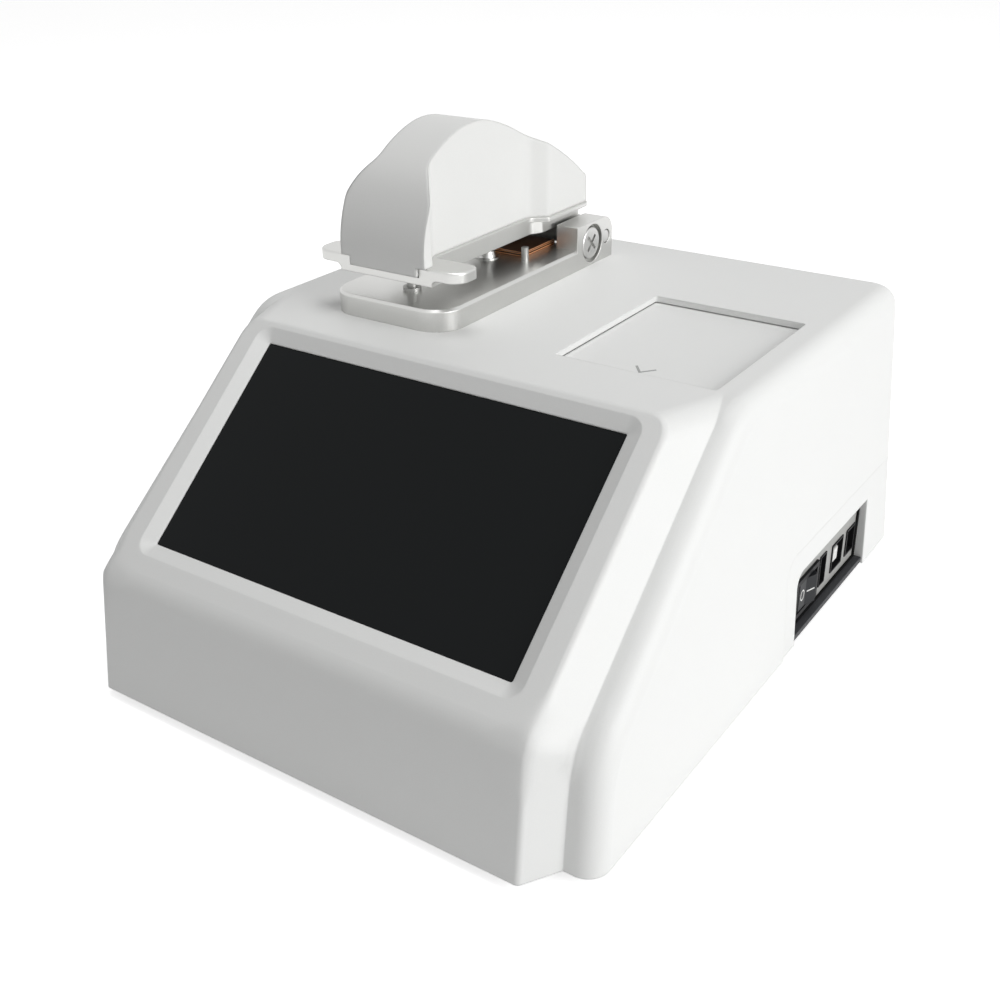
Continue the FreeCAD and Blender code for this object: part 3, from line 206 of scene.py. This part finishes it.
# Moulded texture: a fine pebbled skin, with slow changes of tone from the flow of the plastic.
flow_scale = 22.0
flow_gloss_change = 0.12
pebble_tone_change = 0.05
moulded, moulded_in, moulded_out = texture_group(
    "moulded texture",
    [("Colour", "Color", (0.8, 0.8, 0.8, 1.0)), ("Grain", "Float", 2600.0), ("Tone Change", "Float", 0.03),
     ("Gloss", "Float", 0.45)])
pebbles = noise(moulded, moulded_in.outputs["Grain"], detail=2.0)
flow = noise(moulded, flow_scale, detail=3.0)
end_texture(moulded, moulded_in, moulded_out,
            first_tone=swing(moulded, flow, moulded_in.outputs["Tone Change"]),
            second_tone=swing(moulded, pebbles, pebble_tone_change),
            gloss_change=swing(moulded, flow, flow_gloss_change),
            height=pebbles)


def add_relief(tree, height, strength, depth):
    """Bump from a height socket into the normal of a material's shader."""
    bump = tree.nodes.new("ShaderNodeBump")
    bump.inputs["Strength"].default_value = strength
    bump.inputs["Distance"].default_value = depth
    tree.links.new(height, bump.inputs["Height"])
    tree.links.new(bump.outputs["Normal"], tree.nodes["Principled BSDF"].inputs["Normal"])


def textured(material, group, values, strength, depth):
    """Feeds a material's shader from a texture group, with the group's height as a bump."""
    tree = material.node_tree
    shader = tree.nodes["Principled BSDF"]
    use = tree.nodes.new("ShaderNodeGroup")
    use.node_tree = group
    for label, value in values.items():
        use.inputs[label].default_value = value
    tree.links.new(use.outputs["Colour"], shader.inputs["Base Color"])
    tree.links.new(use.outputs["Roughness"], shader.inputs["Roughness"])
    add_relief(tree, use.outputs["Height"], strength, depth)
    return material


def plastic(name, colour, gloss=0.45, grain=2600.0, tone_change=0.03, relief=0.25, shine=0.5):
    """Moulded plastic with the texture above, and its own strength of reflection."""
    pebble_depth = 0.08 * mm
    material = new_finish(name, colour, gloss)
    material.node_tree.nodes["Principled BSDF"].inputs["Specular IOR Level"].default_value = shine
    values = {"Colour": (*colour, 1.0), "Grain": grain, "Tone Change": tone_change, "Gloss": gloss}
    return textured(material, moulded, values, relief, pebble_depth)


def dress(node, material):
    """Gives a CAD piece its material."""
    slots = nodes[node].material_slots
    if not slots:
        nodes[node].data.materials.append(material)
    for slot in slots:
        slot.material = material


def softened_edges(material, radius, samples=6):
    """Rounds the normals over a material's edges by a radius in metres, and returns the node for it."""
    tree = material.node_tree
    edge = tree.nodes.new("ShaderNodeBevel")
    edge.samples = samples
    edge.inputs["Radius"].default_value = radius
    bump = next(node for node in tree.nodes if node.type == "BUMP")
    tree.links.new(edge.outputs["Normal"], bump.inputs["Normal"])
    return edge


# The flared strip beside the nose bends in one soft curve: the radius that rounds the normals is
# large near the bend, at the same place on both sides, and is that of a small moulded edge elsewhere.
bend_place = (93.6 * mm, 128.3 * mm, 49.2 * mm)
bend_full_within = 10.0 * mm
bend_gone_beyond = 19.0 * mm
bend_softness = 7.5 * mm
edge_softness = 0.8 * mm
housing_white = plastic("housing white", shell_white, gloss=0.48)
shell_tree = housing_white.node_tree
mirrored_place = shell_tree.nodes.new("ShaderNodeVectorMath")
mirrored_place.operation = "ABSOLUTE"
shell_tree.links.new(shell_tree.nodes.new("ShaderNodeTexCoord").outputs["Object"], mirrored_place.inputs[0])
bend_distance = shell_tree.nodes.new("ShaderNodeVectorMath")
bend_distance.operation = "DISTANCE"
bend_distance.inputs[1].default_value = bend_place
shell_tree.links.new(mirrored_place.outputs[0], bend_distance.inputs[0])
bend_radius = shell_tree.nodes.new("ShaderNodeMapRange")
bend_radius.inputs["From Min"].default_value = bend_full_within
bend_radius.inputs["From Max"].default_value = bend_gone_beyond
bend_radius.inputs["To Min"].default_value = bend_softness
bend_radius.inputs["To Max"].default_value = edge_softness
shell_tree.links.new(bend_distance.outputs["Value"], bend_radius.inputs["Value"])
shell_edge = softened_edges(housing_white, edge_softness, samples=8)
shell_tree.links.new(bend_radius.outputs["Result"], shell_edge.inputs["Radius"])
dress("upper_housing", housing_white)

# Screen glass: one pane of dark glass that lies behind the sloping frame.
# The display and its sheet bracket lie behind it, and four screws hold the bracket to the shell.
glass_reflection = 0.06
glass_dark = (0.0105, 0.0118, 0.0124)
glass_light = (0.0125, 0.0138, 0.0144)


def two_tones(tree, factor, low, high, low_place=0.0, high_place=1.0):
    """Colour that runs from one tone to another between two places of a factor."""
    ramp = tree.nodes.new("ShaderNodeValToRGB")
    for stop, tone, place in zip(ramp.color_ramp.elements, (low, high), (low_place, high_place)):
        stop.color = (*tone, 1.0)
        stop.position = place
    tree.links.new(factor, ramp.inputs["Fac"])
    return ramp.outputs["Color"]


glass_black = new_finish("screen black", (0.010, 0.011, 0.012), roughness=0.12)
glass_tree = glass_black.node_tree
glass_shader = glass_tree.nodes["Principled BSDF"]
glass_shader.inputs["Specular IOR Level"].default_value = glass_reflection
glass_tone = two_tones(glass_tree, noise(glass_tree, scale=9.0, detail=1.0), glass_dark, glass_light)
glass_tree.links.new(glass_tone, glass_shader.inputs["Base Color"])
dress("screen_glass", glass_black)

# Brushed texture: drawn or milled metal, with fine lines along one direction.
cloud_scale = 60.0
cloud_tone_change = 0.06
brushed, brushed_in, brushed_out = texture_group(
    "brushed texture",
    [("Colour", "Color", (0.7, 0.7, 0.7, 1.0)), ("Stretch", "Vector", (1.0, 1.0, 1.0)),
     ("Lines", "Float", 400.0), ("Gloss", "Float", 0.3), ("Spread", "Float", 0.1)])
line_space = brushed.nodes.new("ShaderNodeVectorMath")
line_space.operation = "MULTIPLY"
brushed.links.new(brushed.nodes.new("ShaderNodeTexCoord").outputs["Object"], line_space.inputs[0])
brushed.links.new(brushed_in.outputs["Stretch"], line_space.inputs[1])
lines = noise(brushed, brushed_in.outputs["Lines"], detail=4.0, vector=line_space.outputs[0])
clouds = noise(brushed, cloud_scale, detail=2.0)
line_change = swing(brushed, lines, brushed_in.outputs["Spread"])
end_texture(brushed, brushed_in, brushed_out,
            first_tone=line_change,
            second_tone=swing(brushed, clouds, cloud_tone_change),
            gloss_change=line_change,
            height=lines)


def metal(name, colour, gloss, stretch=(1.0, 1.0, 1.0), lines_per_metre=900.0, spread=0.12, relief=0.08):
    """Bare or anodised metal with the brushed texture."""
    line_depth = 0.05 * mm
    material = new_finish(name, colour, gloss, metallic=1.0)
    values = {"Colour": (*colour, 1.0), "Stretch": stretch, "Lines": lines_per_metre, "Gloss": gloss,
              "Spread": spread}
    return textured(material, brushed, values, relief, line_depth)


zinc_sheet = metal("zinc-plated sheet", (0.58, 0.60, 0.60), gloss=0.36, spread=0.2)
screw_steel = metal("screw steel", (0.50, 0.50, 0.49), gloss=0.30, lines_per_metre=1800.0)
display_grey = plastic("display case grey", (0.10, 0.105, 0.11), gloss=0.5, grain=1500.0)
dress("display_module", display_grey)
dress("display_bracket", zinc_sheet)
dress("display_screws", screw_steel)

# Bottom tray: moulded in dark grey plastic, with air slots, foot bosses and a rim inside the shell.
# Six screws hold it to the shell's bosses.
tray_grey = plastic("tray grey", (0.045, 0.046, 0.050), gloss=0.6, grain=1800.0, relief=0.35, shine=0.25)
black_screw = metal("blackened screw steel", (0.06, 0.06, 0.062), gloss=0.38, lines_per_metre=1800.0)
dress("base_tray", tray_grey)
dress("tray_screws", black_screw)

# Feet: four discs of soft black rubber, each with a sunk hole.
# A screw goes up through each hole into the tray's boss.
foot_rubber = plastic("foot rubber", (0.022, 0.022, 0.024), gloss=0.75, grain=1200.0, tone_change=0.2,
                      relief=0.5)
dress("rubber_feet", foot_rubber)
dress("foot_screws", screw_steel)

# Main board: a green glass-fibre board on four stand-offs, screwed down from above.
# The pillar screws come up through the tray into the pillars and the stand-offs.
track_depth = 0.04 * mm
board_green = new_finish("board green", (0.012, 0.10, 0.045), roughness=0.35)
board_tree = board_green.node_tree
tracks = board_tree.nodes.new("ShaderNodeTexBrick")
tracks.inputs["Scale"].default_value = 160.0
tracks.inputs["Mortar Size"].default_value = 0.012
tracks.inputs["Color1"].default_value = (0.010, 0.085, 0.038, 1.0)
tracks.inputs["Color2"].default_value = (0.016, 0.115, 0.052, 1.0)
tracks.inputs["Mortar"].default_value = (0.035, 0.17, 0.075, 1.0)
board_tree.links.new(board_tree.nodes.new("ShaderNodeTexCoord").outputs["Object"], tracks.inputs["Vector"])
board_tree.links.new(tracks.outputs["Color"], board_tree.nodes["Principled BSDF"].inputs["Base Color"])
add_relief(board_tree, tracks.outputs["Fac"], strength=0.3, depth=track_depth)
brass = metal("brass", (0.72, 0.52, 0.22), gloss=0.28, lines_per_metre=1500.0)
dress("main_board", board_green)
dress("board_standoffs", brass)
dress("board_screws", screw_steel)
dress("pillar_screws", black_screw)

# Connector bay: a grey painted sheet panel, folded at its foot, behind an opening in the right side.
# Two screws hold its flange to the tray, and the ports stand behind it on a small board of their own.
panel_paint = plastic("panel grey paint", (0.33, 0.33, 0.32), gloss=0.5, grain=1400.0, tone_change=0.06,
                      relief=0.4)
dress("connector_panel", panel_paint)
dress("panel_screws", black_screw)
dress("connector_board", board_green)
dress("connector_board_screws", screw_steel)

# Painted shade of the bay's gap: a thin black strip along the foot and the rear edge of the panel's face.
# It lies on the panel and stands for the shadow in the gap to the shell and the tray.
gap_shade_foot_width = 1.5
gap_shade_rear_width = 2.4
gap_shade_thickness = 0.6
gap_shade_edge_radius = 0.15
gap_shade_front_gap = 0.3
gap_shade_rear_gap = 0.1
gap_shade_top_gap = 0.4
tray_to_bay_floor = 2.5


def add_piece(name, form, material, body):
    """Object made from a bmesh, with its material, riding on a body."""
    mesh = bpy.data.meshes.new(name)
    bmesh.ops.recalc_face_normals(form, faces=form.faces)
    form.to_mesh(mesh)
    form.free()
    mesh.materials.append(material)
    piece = new_object(name, mesh)
    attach(piece, body)


def in_millimetres(corners):
    """The lowest and the highest corner of a box, in millimetres."""
    return [[value / mm for value in corner] for corner in corners]


def softened_block(form, low, high, radius):
    """Adds a block between two corners, given in millimetres, to a bmesh, with all its edges rounded."""
    uprights = []
    for x in (low[0], high[0]):
        for y in (low[1], high[1]):
            uprights.append([form.verts.new((x * mm, y * mm, z * mm)) for z in (low[2], high[2])])
    first, second, third, fourth = uprights
    sides = [(first, second), (second, fourth), (fourth, third), (third, first)]
    faces = [form.faces.new((a[0], b[0], b[1], a[1])) for a, b in sides]
    for end in (0, 1):
        faces.append(form.faces.new([upright[end] for upright in (first, second, fourth, third)]))
    edges = list({edge for face in faces for edge in face.edges})
    bmesh.ops.recalc_face_normals(form, faces=faces)
    bmesh.ops.bevel(form, geom=edges, offset=radius * mm, segments=2, affect="EDGES")


# The strip's black is painted shade: it stands for the shadow in the gap round the panel.
gap_shade_black = plastic("gap shade black", (0.006, 0.006, 0.006), gloss=0.8, grain=1600.0, shine=0.05)
panel_low, panel_high = in_millimetres(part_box("connector_panel"))
bay_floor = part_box("base_tray")[0][2] / mm + tray_to_bay_floor
gap_shade_face = panel_high[0] + gap_shade_thickness
gap_shade_rear = panel_high[1] - gap_shade_rear_gap
gap_shade_foot_top = bay_floor + gap_shade_foot_width
# The strip of painted shade, at the foot and along the rear edge of the panel.
bay_gap_shade = bmesh.new()
softened_block(bay_gap_shade, (panel_high[0], panel_low[1] + gap_shade_front_gap, bay_floor),
               (gap_shade_face, gap_shade_rear, gap_shade_foot_top), gap_shade_edge_radius)
softened_block(bay_gap_shade, (panel_high[0], gap_shade_rear - gap_shade_rear_width, gap_shade_foot_top),
               (gap_shade_face, gap_shade_rear, panel_high[2] - gap_shade_top_gap), gap_shade_edge_radius)
add_piece("bay_gap_shade", bay_gap_shade, gap_shade_black, "housing")

# Ports: three sockets moulded in black plastic, held by the small board behind the panel.
# The square one has a pale insert, whose front, rear, foot and top are given from the socket's
# middle, and the tall one has a dark tongue.
insert_depth = 7.5
insert_recess = 0.5
insert_front = -3.6
insert_rear = 1.4
insert_foot = -2.6
insert_top = 3.6
insert_edge_radius = 0.3
port_black = plastic("port black", (0.010, 0.010, 0.011), gloss=0.5, grain=1500.0, shine=0.12)
dress("host_port", port_black)
dress("device_port", port_black)
dress("power_inlet", port_black)


def middle_of(low, high):
    """Middle of a box, from its lowest and highest corners."""
    return [(first + second) / 2 for first, second in zip(low, high)]


insert_white = plastic("insert white", (0.72, 0.72, 0.70), gloss=0.5, grain=1800.0)
port_low, port_high = in_millimetres(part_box("device_port"))
port_middle = middle_of(port_low, port_high)
insert_face = port_high[0] - insert_recess
port_insert = bmesh.new()
softened_block(port_insert,
               (insert_face - insert_depth, port_middle[1] + insert_front, port_middle[2] + insert_foot),
               (insert_face, port_middle[1] + insert_rear, port_middle[2] + insert_top), insert_edge_radius)
add_piece("device_port_insert", port_insert, insert_white, "housing")

# Contacts of the tall port: four sprung copper-alloy strips laid along its tongue, on the side that
# faces the switch, where a plug's own contacts meet them.
contact_count = 4
contact_spacing = 2.6
contact_length = 7.0
contact_recess = 2.0
contact_width = 1.0
contact_thickness = 0.2
contact_sink = 0.02
contact_edge_radius = 0.05
tongue_side = 0.1
contact_gold = metal("plated contact", (0.55, 0.36, 0.16), gloss=0.30, lines_per_metre=1500.0)
host_low, host_high = in_millimetres(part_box("host_port"))
host_middle = middle_of(host_low, host_high)
contact_tip = host_high[0] - contact_recess
contact_back = host_middle[1] - tongue_side + contact_sink
host_contacts = bmesh.new()
for i in range(contact_count):
    contact_height = host_middle[2] + contact_spacing * (i - (contact_count - 1) / 2)
    softened_block(host_contacts,
                   (contact_tip - contact_length, contact_back - contact_thickness,
                    contact_height - contact_width / 2),
                   (contact_tip, contact_back, contact_height + contact_width / 2), contact_edge_radius)
add_piece("host_port_contacts", host_contacts, contact_gold, "housing")

# Rocker switch: a black case snapped into the panel, and a black rocker on two short pins.
# The off end is pressed in and bears a white ring; the other end stands proud with a white bar.
switch_black = plastic("switch black", (0.007, 0.007, 0.008), gloss=0.5, grain=1700.0, shine=0.12)
rocker_black = plastic("rocker black", (0.011, 0.012, 0.014), gloss=0.42, grain=1700.0, shine=0.16)
dress("rocker_switch_body", switch_black)
dress("rocker_button", rocker_black)

# Marks on the rocker: a ring and a bar of white ink, printed on its two halves.
# The halves meet at the pivot line and lean back from it. At rest the whole rocker is turned,
# so that one half lies deep and the other stands out.
pivot_place = (102.0 * mm, 44.0 * mm, 19.0 * mm)
rocker_rest_turn = -10.0
half_lean = 9.5
face_reach = 6.5 * mm
mark_offset = 3.0 * mm
mark_sink = 0.02 * mm
mark_thickness = 0.07
ring_hole = (1.35, 1.9)
ring_rim = (1.85, 2.45)
ring_steps = 40
bar_core = (1.9, 0.02)
bar_rim = (2.2, 0.3)
mark_white = plastic("mark white", (0.78, 0.78, 0.76), gloss=0.5, grain=3000.0)
rocker_pivot = Matrix.Translation(pivot_place) @ Matrix.Rotation(math.radians(rocker_rest_turn), 4, "Z")


def rocker_face(side):
    """Frame on one half of the rocker: its own X runs along the rocker, Y up, and Z out of the face."""
    lean = Matrix.Rotation(math.radians(-half_lean * side), 4, "Z")
    stand = Matrix(((0, 0, 1, 0), (1, 0, 0, 0), (0, 1, 0, 0), (0, 0, 0, 1)))
    middle = Matrix.Translation((face_reach, mark_offset * side, 0.0)) @ lean
    return rocker_pivot @ middle @ stand @ Matrix.Translation((0.0, 0.0, -mark_sink))


def raised_strip(form, inner, outer, thickness, place):
    """Adds a closed strip between two outlines of equal length, in millimetres, and puts it in place."""
    rings = []
    for height in (0.0, thickness):
        for outline in (inner, outer):
            points = [place @ Vector((x * mm, y * mm, height * mm)) for x, y in outline]
            rings.append([form.verts.new(point) for point in points])
    count = len(inner)
    for i in range(count):
        j = (i + 1) % count
        low_in, low_out, high_in, high_out = [(ring[i], ring[j]) for ring in rings]
        form.faces.new((low_in[0], low_in[1], low_out[1], low_out[0]))
        form.faces.new((high_in[0], high_out[0], high_out[1], high_in[1]))
        form.faces.new((low_in[0], high_in[0], high_in[1], low_in[1]))
        form.faces.new((low_out[0], low_out[1], high_out[1], high_out[0]))


def oval(half_length, half_height):
    """Outline of an oval round the origin."""
    angles = [2.0 * math.pi * i / ring_steps for i in range(ring_steps)]
    return [(half_length * math.cos(angle), half_height * math.sin(angle)) for angle in angles]


def oblong(half_length, half_height):
    """Outline of an oblong round the origin."""
    return [(half_length, half_height), (-half_length, half_height), (-half_length, -half_height),
            (half_length, -half_height)]


off_ring = bmesh.new()
raised_strip(off_ring, oval(*ring_hole), oval(*ring_rim), mark_thickness, rocker_face(-1))
add_piece("rocker_ring_mark", off_ring, mark_white, "rocker")
on_bar = bmesh.new()
raised_strip(on_bar, oblong(*bar_core), oblong(*bar_rim), mark_thickness, rocker_face(1))
add_piece("rocker_bar_mark", on_bar, mark_white, "rocker")

# Optics: a stiff aluminium plate on four pillars carries the closed spectrometer, the cuvette
# holder and the lamp. A steel-sleeved fibre runs up to the pedestal, and a black tube joins the
# lamp to the holder.
plate_aluminium = metal("milled plate aluminium", (0.56, 0.57, 0.58), gloss=0.34, stretch=(1.0, 8.0, 1.0),
                        lines_per_metre=300.0)
anodised_black = metal("black anodised aluminium", (0.035, 0.036, 0.04), gloss=0.42, lines_per_metre=1400.0)
fibre_jacket = metal("fibre sleeve steel", (0.45, 0.45, 0.46), gloss=0.3, stretch=(1.0, 1.0, 20.0),
                     lines_per_metre=500.0, spread=0.5)
dress("optics_chassis", plate_aluminium)
dress("chassis_pillars", plate_aluminium)
dress("chassis_screws", screw_steel)
dress("spectrometer_module", anodised_black)
dress("cuvette_holder", anodised_black)
dress("holder_screws", screw_steel)
dress("lens_tube", anodised_black)
dress("lamp_module", plate_aluminium)
dress("detector_board", board_green)
dress("lower_fibre", fibre_jacket)

# Cuvette door: a white moulded slab that slides forward under the skin on two black rails.
# Four small screws hold the rails up under the skin.
rail_black = plastic("slippery rail black", (0.02, 0.02, 0.022), gloss=0.4)
door_white = plastic("door white", shell_white, gloss=0.46)
softened_edges(door_white, radius=0.4 * mm)
dress("lid_rails", rail_black)
dress("rail_screws", screw_steel)
dress("cuvette_lid", door_white)

# Arrowhead on the door: two short strokes that meet in a point and show which way the door slides.
# They are cut into the plastic; the shade in the grooves is painted grey on a strip just proud of the door.
arrow_x = 59.9 * mm
arrow_y = -10.9 * mm
arrow_sink = 0.03 * mm
arrow_thickness = 0.06
# Grey of painted shade inside the engraved strokes.
groove_shade_grey = plastic("groove shade", (0.36, 0.365, 0.36), gloss=0.6)
door_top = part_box("cuvette_lid")[1][2]
arrow_place = Matrix.Translation((arrow_x, arrow_y, door_top - arrow_sink))
arrow_outer = [(-4.2, 3.4), (-3.5, 4.0), (0.0, -0.4), (3.5, 4.0), (4.2, 3.4), (0.0, -1.9)]
arrow_inner = [(-3.87, 3.68), (-3.83, 3.72), (0.0, -1.13), (3.83, 3.72), (3.87, 3.68), (0.0, -1.17)]
arrow = bmesh.new()
raised_strip(arrow, arrow_inner, arrow_outer, arrow_thickness, arrow_place)
add_piece("door_arrowhead", arrow, groove_shade_grey, "lid")

# Pedestal base: a machined aluminium plate, blasted and clear anodised, with two hinge cheeks.
# Four screws from under the skin hold it, and the steel pedestal stands in its bore.
satin_aluminium = metal("satin aluminium", (0.63, 0.63, 0.615), gloss=0.33, lines_per_metre=2200.0,
                        spread=0.10, relief=0.15)
softened_edges(satin_aluminium, radius=0.45 * mm)
polished_steel = metal("polished steel", (0.60, 0.60, 0.59), gloss=0.30, lines_per_metre=700.0, spread=0.05)
pin_steel = metal("ground pin steel", (0.42, 0.42, 0.41), gloss=0.42, lines_per_metre=1200.0, spread=0.08)
dress("pedestal_base", satin_aluminium)
dress("pedestal_base_screws", screw_steel)
dress("lower_pedestal", polished_steel)
dress("rest_pins", pin_steel)
dress("front_rest_post", pin_steel)
dress("cheek_screws", polished_steel)
dress("hinge_pin", polished_steel)

# Fibre ends: a polished glass fibre of one millimetre ends flush in the face of each pedestal.
# The drop of sample stands between the two when the arm is closed.
fibre_radius = 0.5
fibre_steps = 24
fibre_sink = 0.02
fibre_thickness = 0.06
chamfer_foot = 0.7 * fibre_thickness
chamfered_radius = 0.85 * fibre_radius
fibre_profile = [(fibre_radius, 0.0), (fibre_radius, chamfer_foot), (chamfered_radius, fibre_thickness)]
fibre_glass = new_finish("polished fibre glass", (0.015, 0.020, 0.035), roughness=0.06)


def fibre_end(name, x, y, z, way, body):
    """Thin round chamfered glass face at a place in millimetres, facing up or, where way is -1, down."""
    form = bmesh.new()
    rings = []
    for reach, height in fibre_profile:
        ring = []
        for i in range(fibre_steps):
            angle = 2.0 * math.pi * i / fibre_steps
            place = (x + reach * math.cos(angle), y + reach * math.sin(angle), z + way * height)
            ring.append(form.verts.new([value * mm for value in place]))
        rings.append(ring)
    for low_ring, high_ring in zip(rings, rings[1:]):
        for i in range(fibre_steps):
            j = (i + 1) % fibre_steps
            form.faces.new((low_ring[i], low_ring[j], high_ring[j], high_ring[i]))
    form.faces.new(rings[0])
    form.faces.new(rings[-1])
    add_piece(name, form, fibre_glass, body)


lower_low, lower_high = in_millimetres(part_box("lower_pedestal"))
upper_low, upper_high = in_millimetres(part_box("upper_pedestal"))
lower_middle = middle_of(lower_low, lower_high)
upper_middle = middle_of(upper_low, upper_high)
fibre_end("lower_fibre_end", lower_middle[0], lower_middle[1], lower_high[2] - fibre_sink, 1.0, "housing")
fibre_end("upper_fibre_end", upper_middle[0], upper_middle[1], upper_low[2] + fibre_sink, -1.0, "arm")

# Folded flat cable: amber film with copper strips along it, laid on the base behind the pedestal.
# Its folds show as copper lines at the edge, and its upper face is darkened with painted shade from the arm
# above.
layer_scale = 390.0
layer_depth = 0.08 * mm
film_dark = (0.10, 0.035, 0.014)
copper = (0.60, 0.27, 0.12)
# Painted shade: the tone of the upper face, darkened as under the arm.
shaded_top_tone = (0.055, 0.024, 0.012)
shaded_top_limit = 0.7
film = new_finish("amber film and copper", (0.28, 0.12, 0.04), roughness=0.35)
film_tree = film.node_tree
layers = film_tree.nodes.new("ShaderNodeTexWave")
layers.bands_direction = "Z"
layers.inputs["Scale"].default_value = layer_scale
film_tree.links.new(film_tree.nodes.new("ShaderNodeTexCoord").outputs["Object"], layers.inputs["Vector"])
edge_tone = two_tones(film_tree, layers.outputs["Fac"], film_dark, copper, low_place=0.40, high_place=0.62)
# Faces that point up take the painted shade.
facing = film_tree.nodes.new("ShaderNodeSeparateXYZ")
film_tree.links.new(film_tree.nodes.new("ShaderNodeTexCoord").outputs["Normal"], facing.inputs["Vector"])
shaded_top_mask = maths(film_tree, "GREATER_THAN", facing.outputs["Z"], shaded_top_limit)
film_and_shade_mix = film_tree.nodes.new("ShaderNodeMix")
film_and_shade_mix.data_type = "RGBA"
film_and_shade_mix.inputs["B"].default_value = (*shaded_top_tone, 1.0)
film_tree.links.new(shaded_top_mask, film_and_shade_mix.inputs["Factor"])
film_tree.links.new(edge_tone, film_and_shade_mix.inputs["A"])
film_tree.links.new(film_and_shade_mix.outputs["Result"], film_tree.nodes["Principled BSDF"].inputs["Base Color"])
add_relief(film_tree, layers.outputs["Fac"], strength=0.4, depth=layer_depth)
dress("flex_fold", film)

# Measuring arm: a machined plate with a front handle, hinged between the cheeks on a steel pin.
# Two plastic bushes in its lug turn on the pin.
bush_plastic = plastic("bush plastic", (0.55, 0.53, 0.47), gloss=0.5)
dress("arm_plate", satin_aluminium)
dress("hinge_bushes", bush_plastic)
dress("upper_pedestal", polished_steel)
dress("arm_optics_block", anodised_black)

# Arm cover: a hollow white moulding over the arm's fibre block, with well rounded edges.
# Two screws hold it from below.
cover_white = plastic("cover white", (0.80, 0.803, 0.79), gloss=0.5)
softened_edges(cover_white, radius=1.6 * mm)
dress("arm_cover", cover_white)
dress("arm_cover_screws", black_screw)
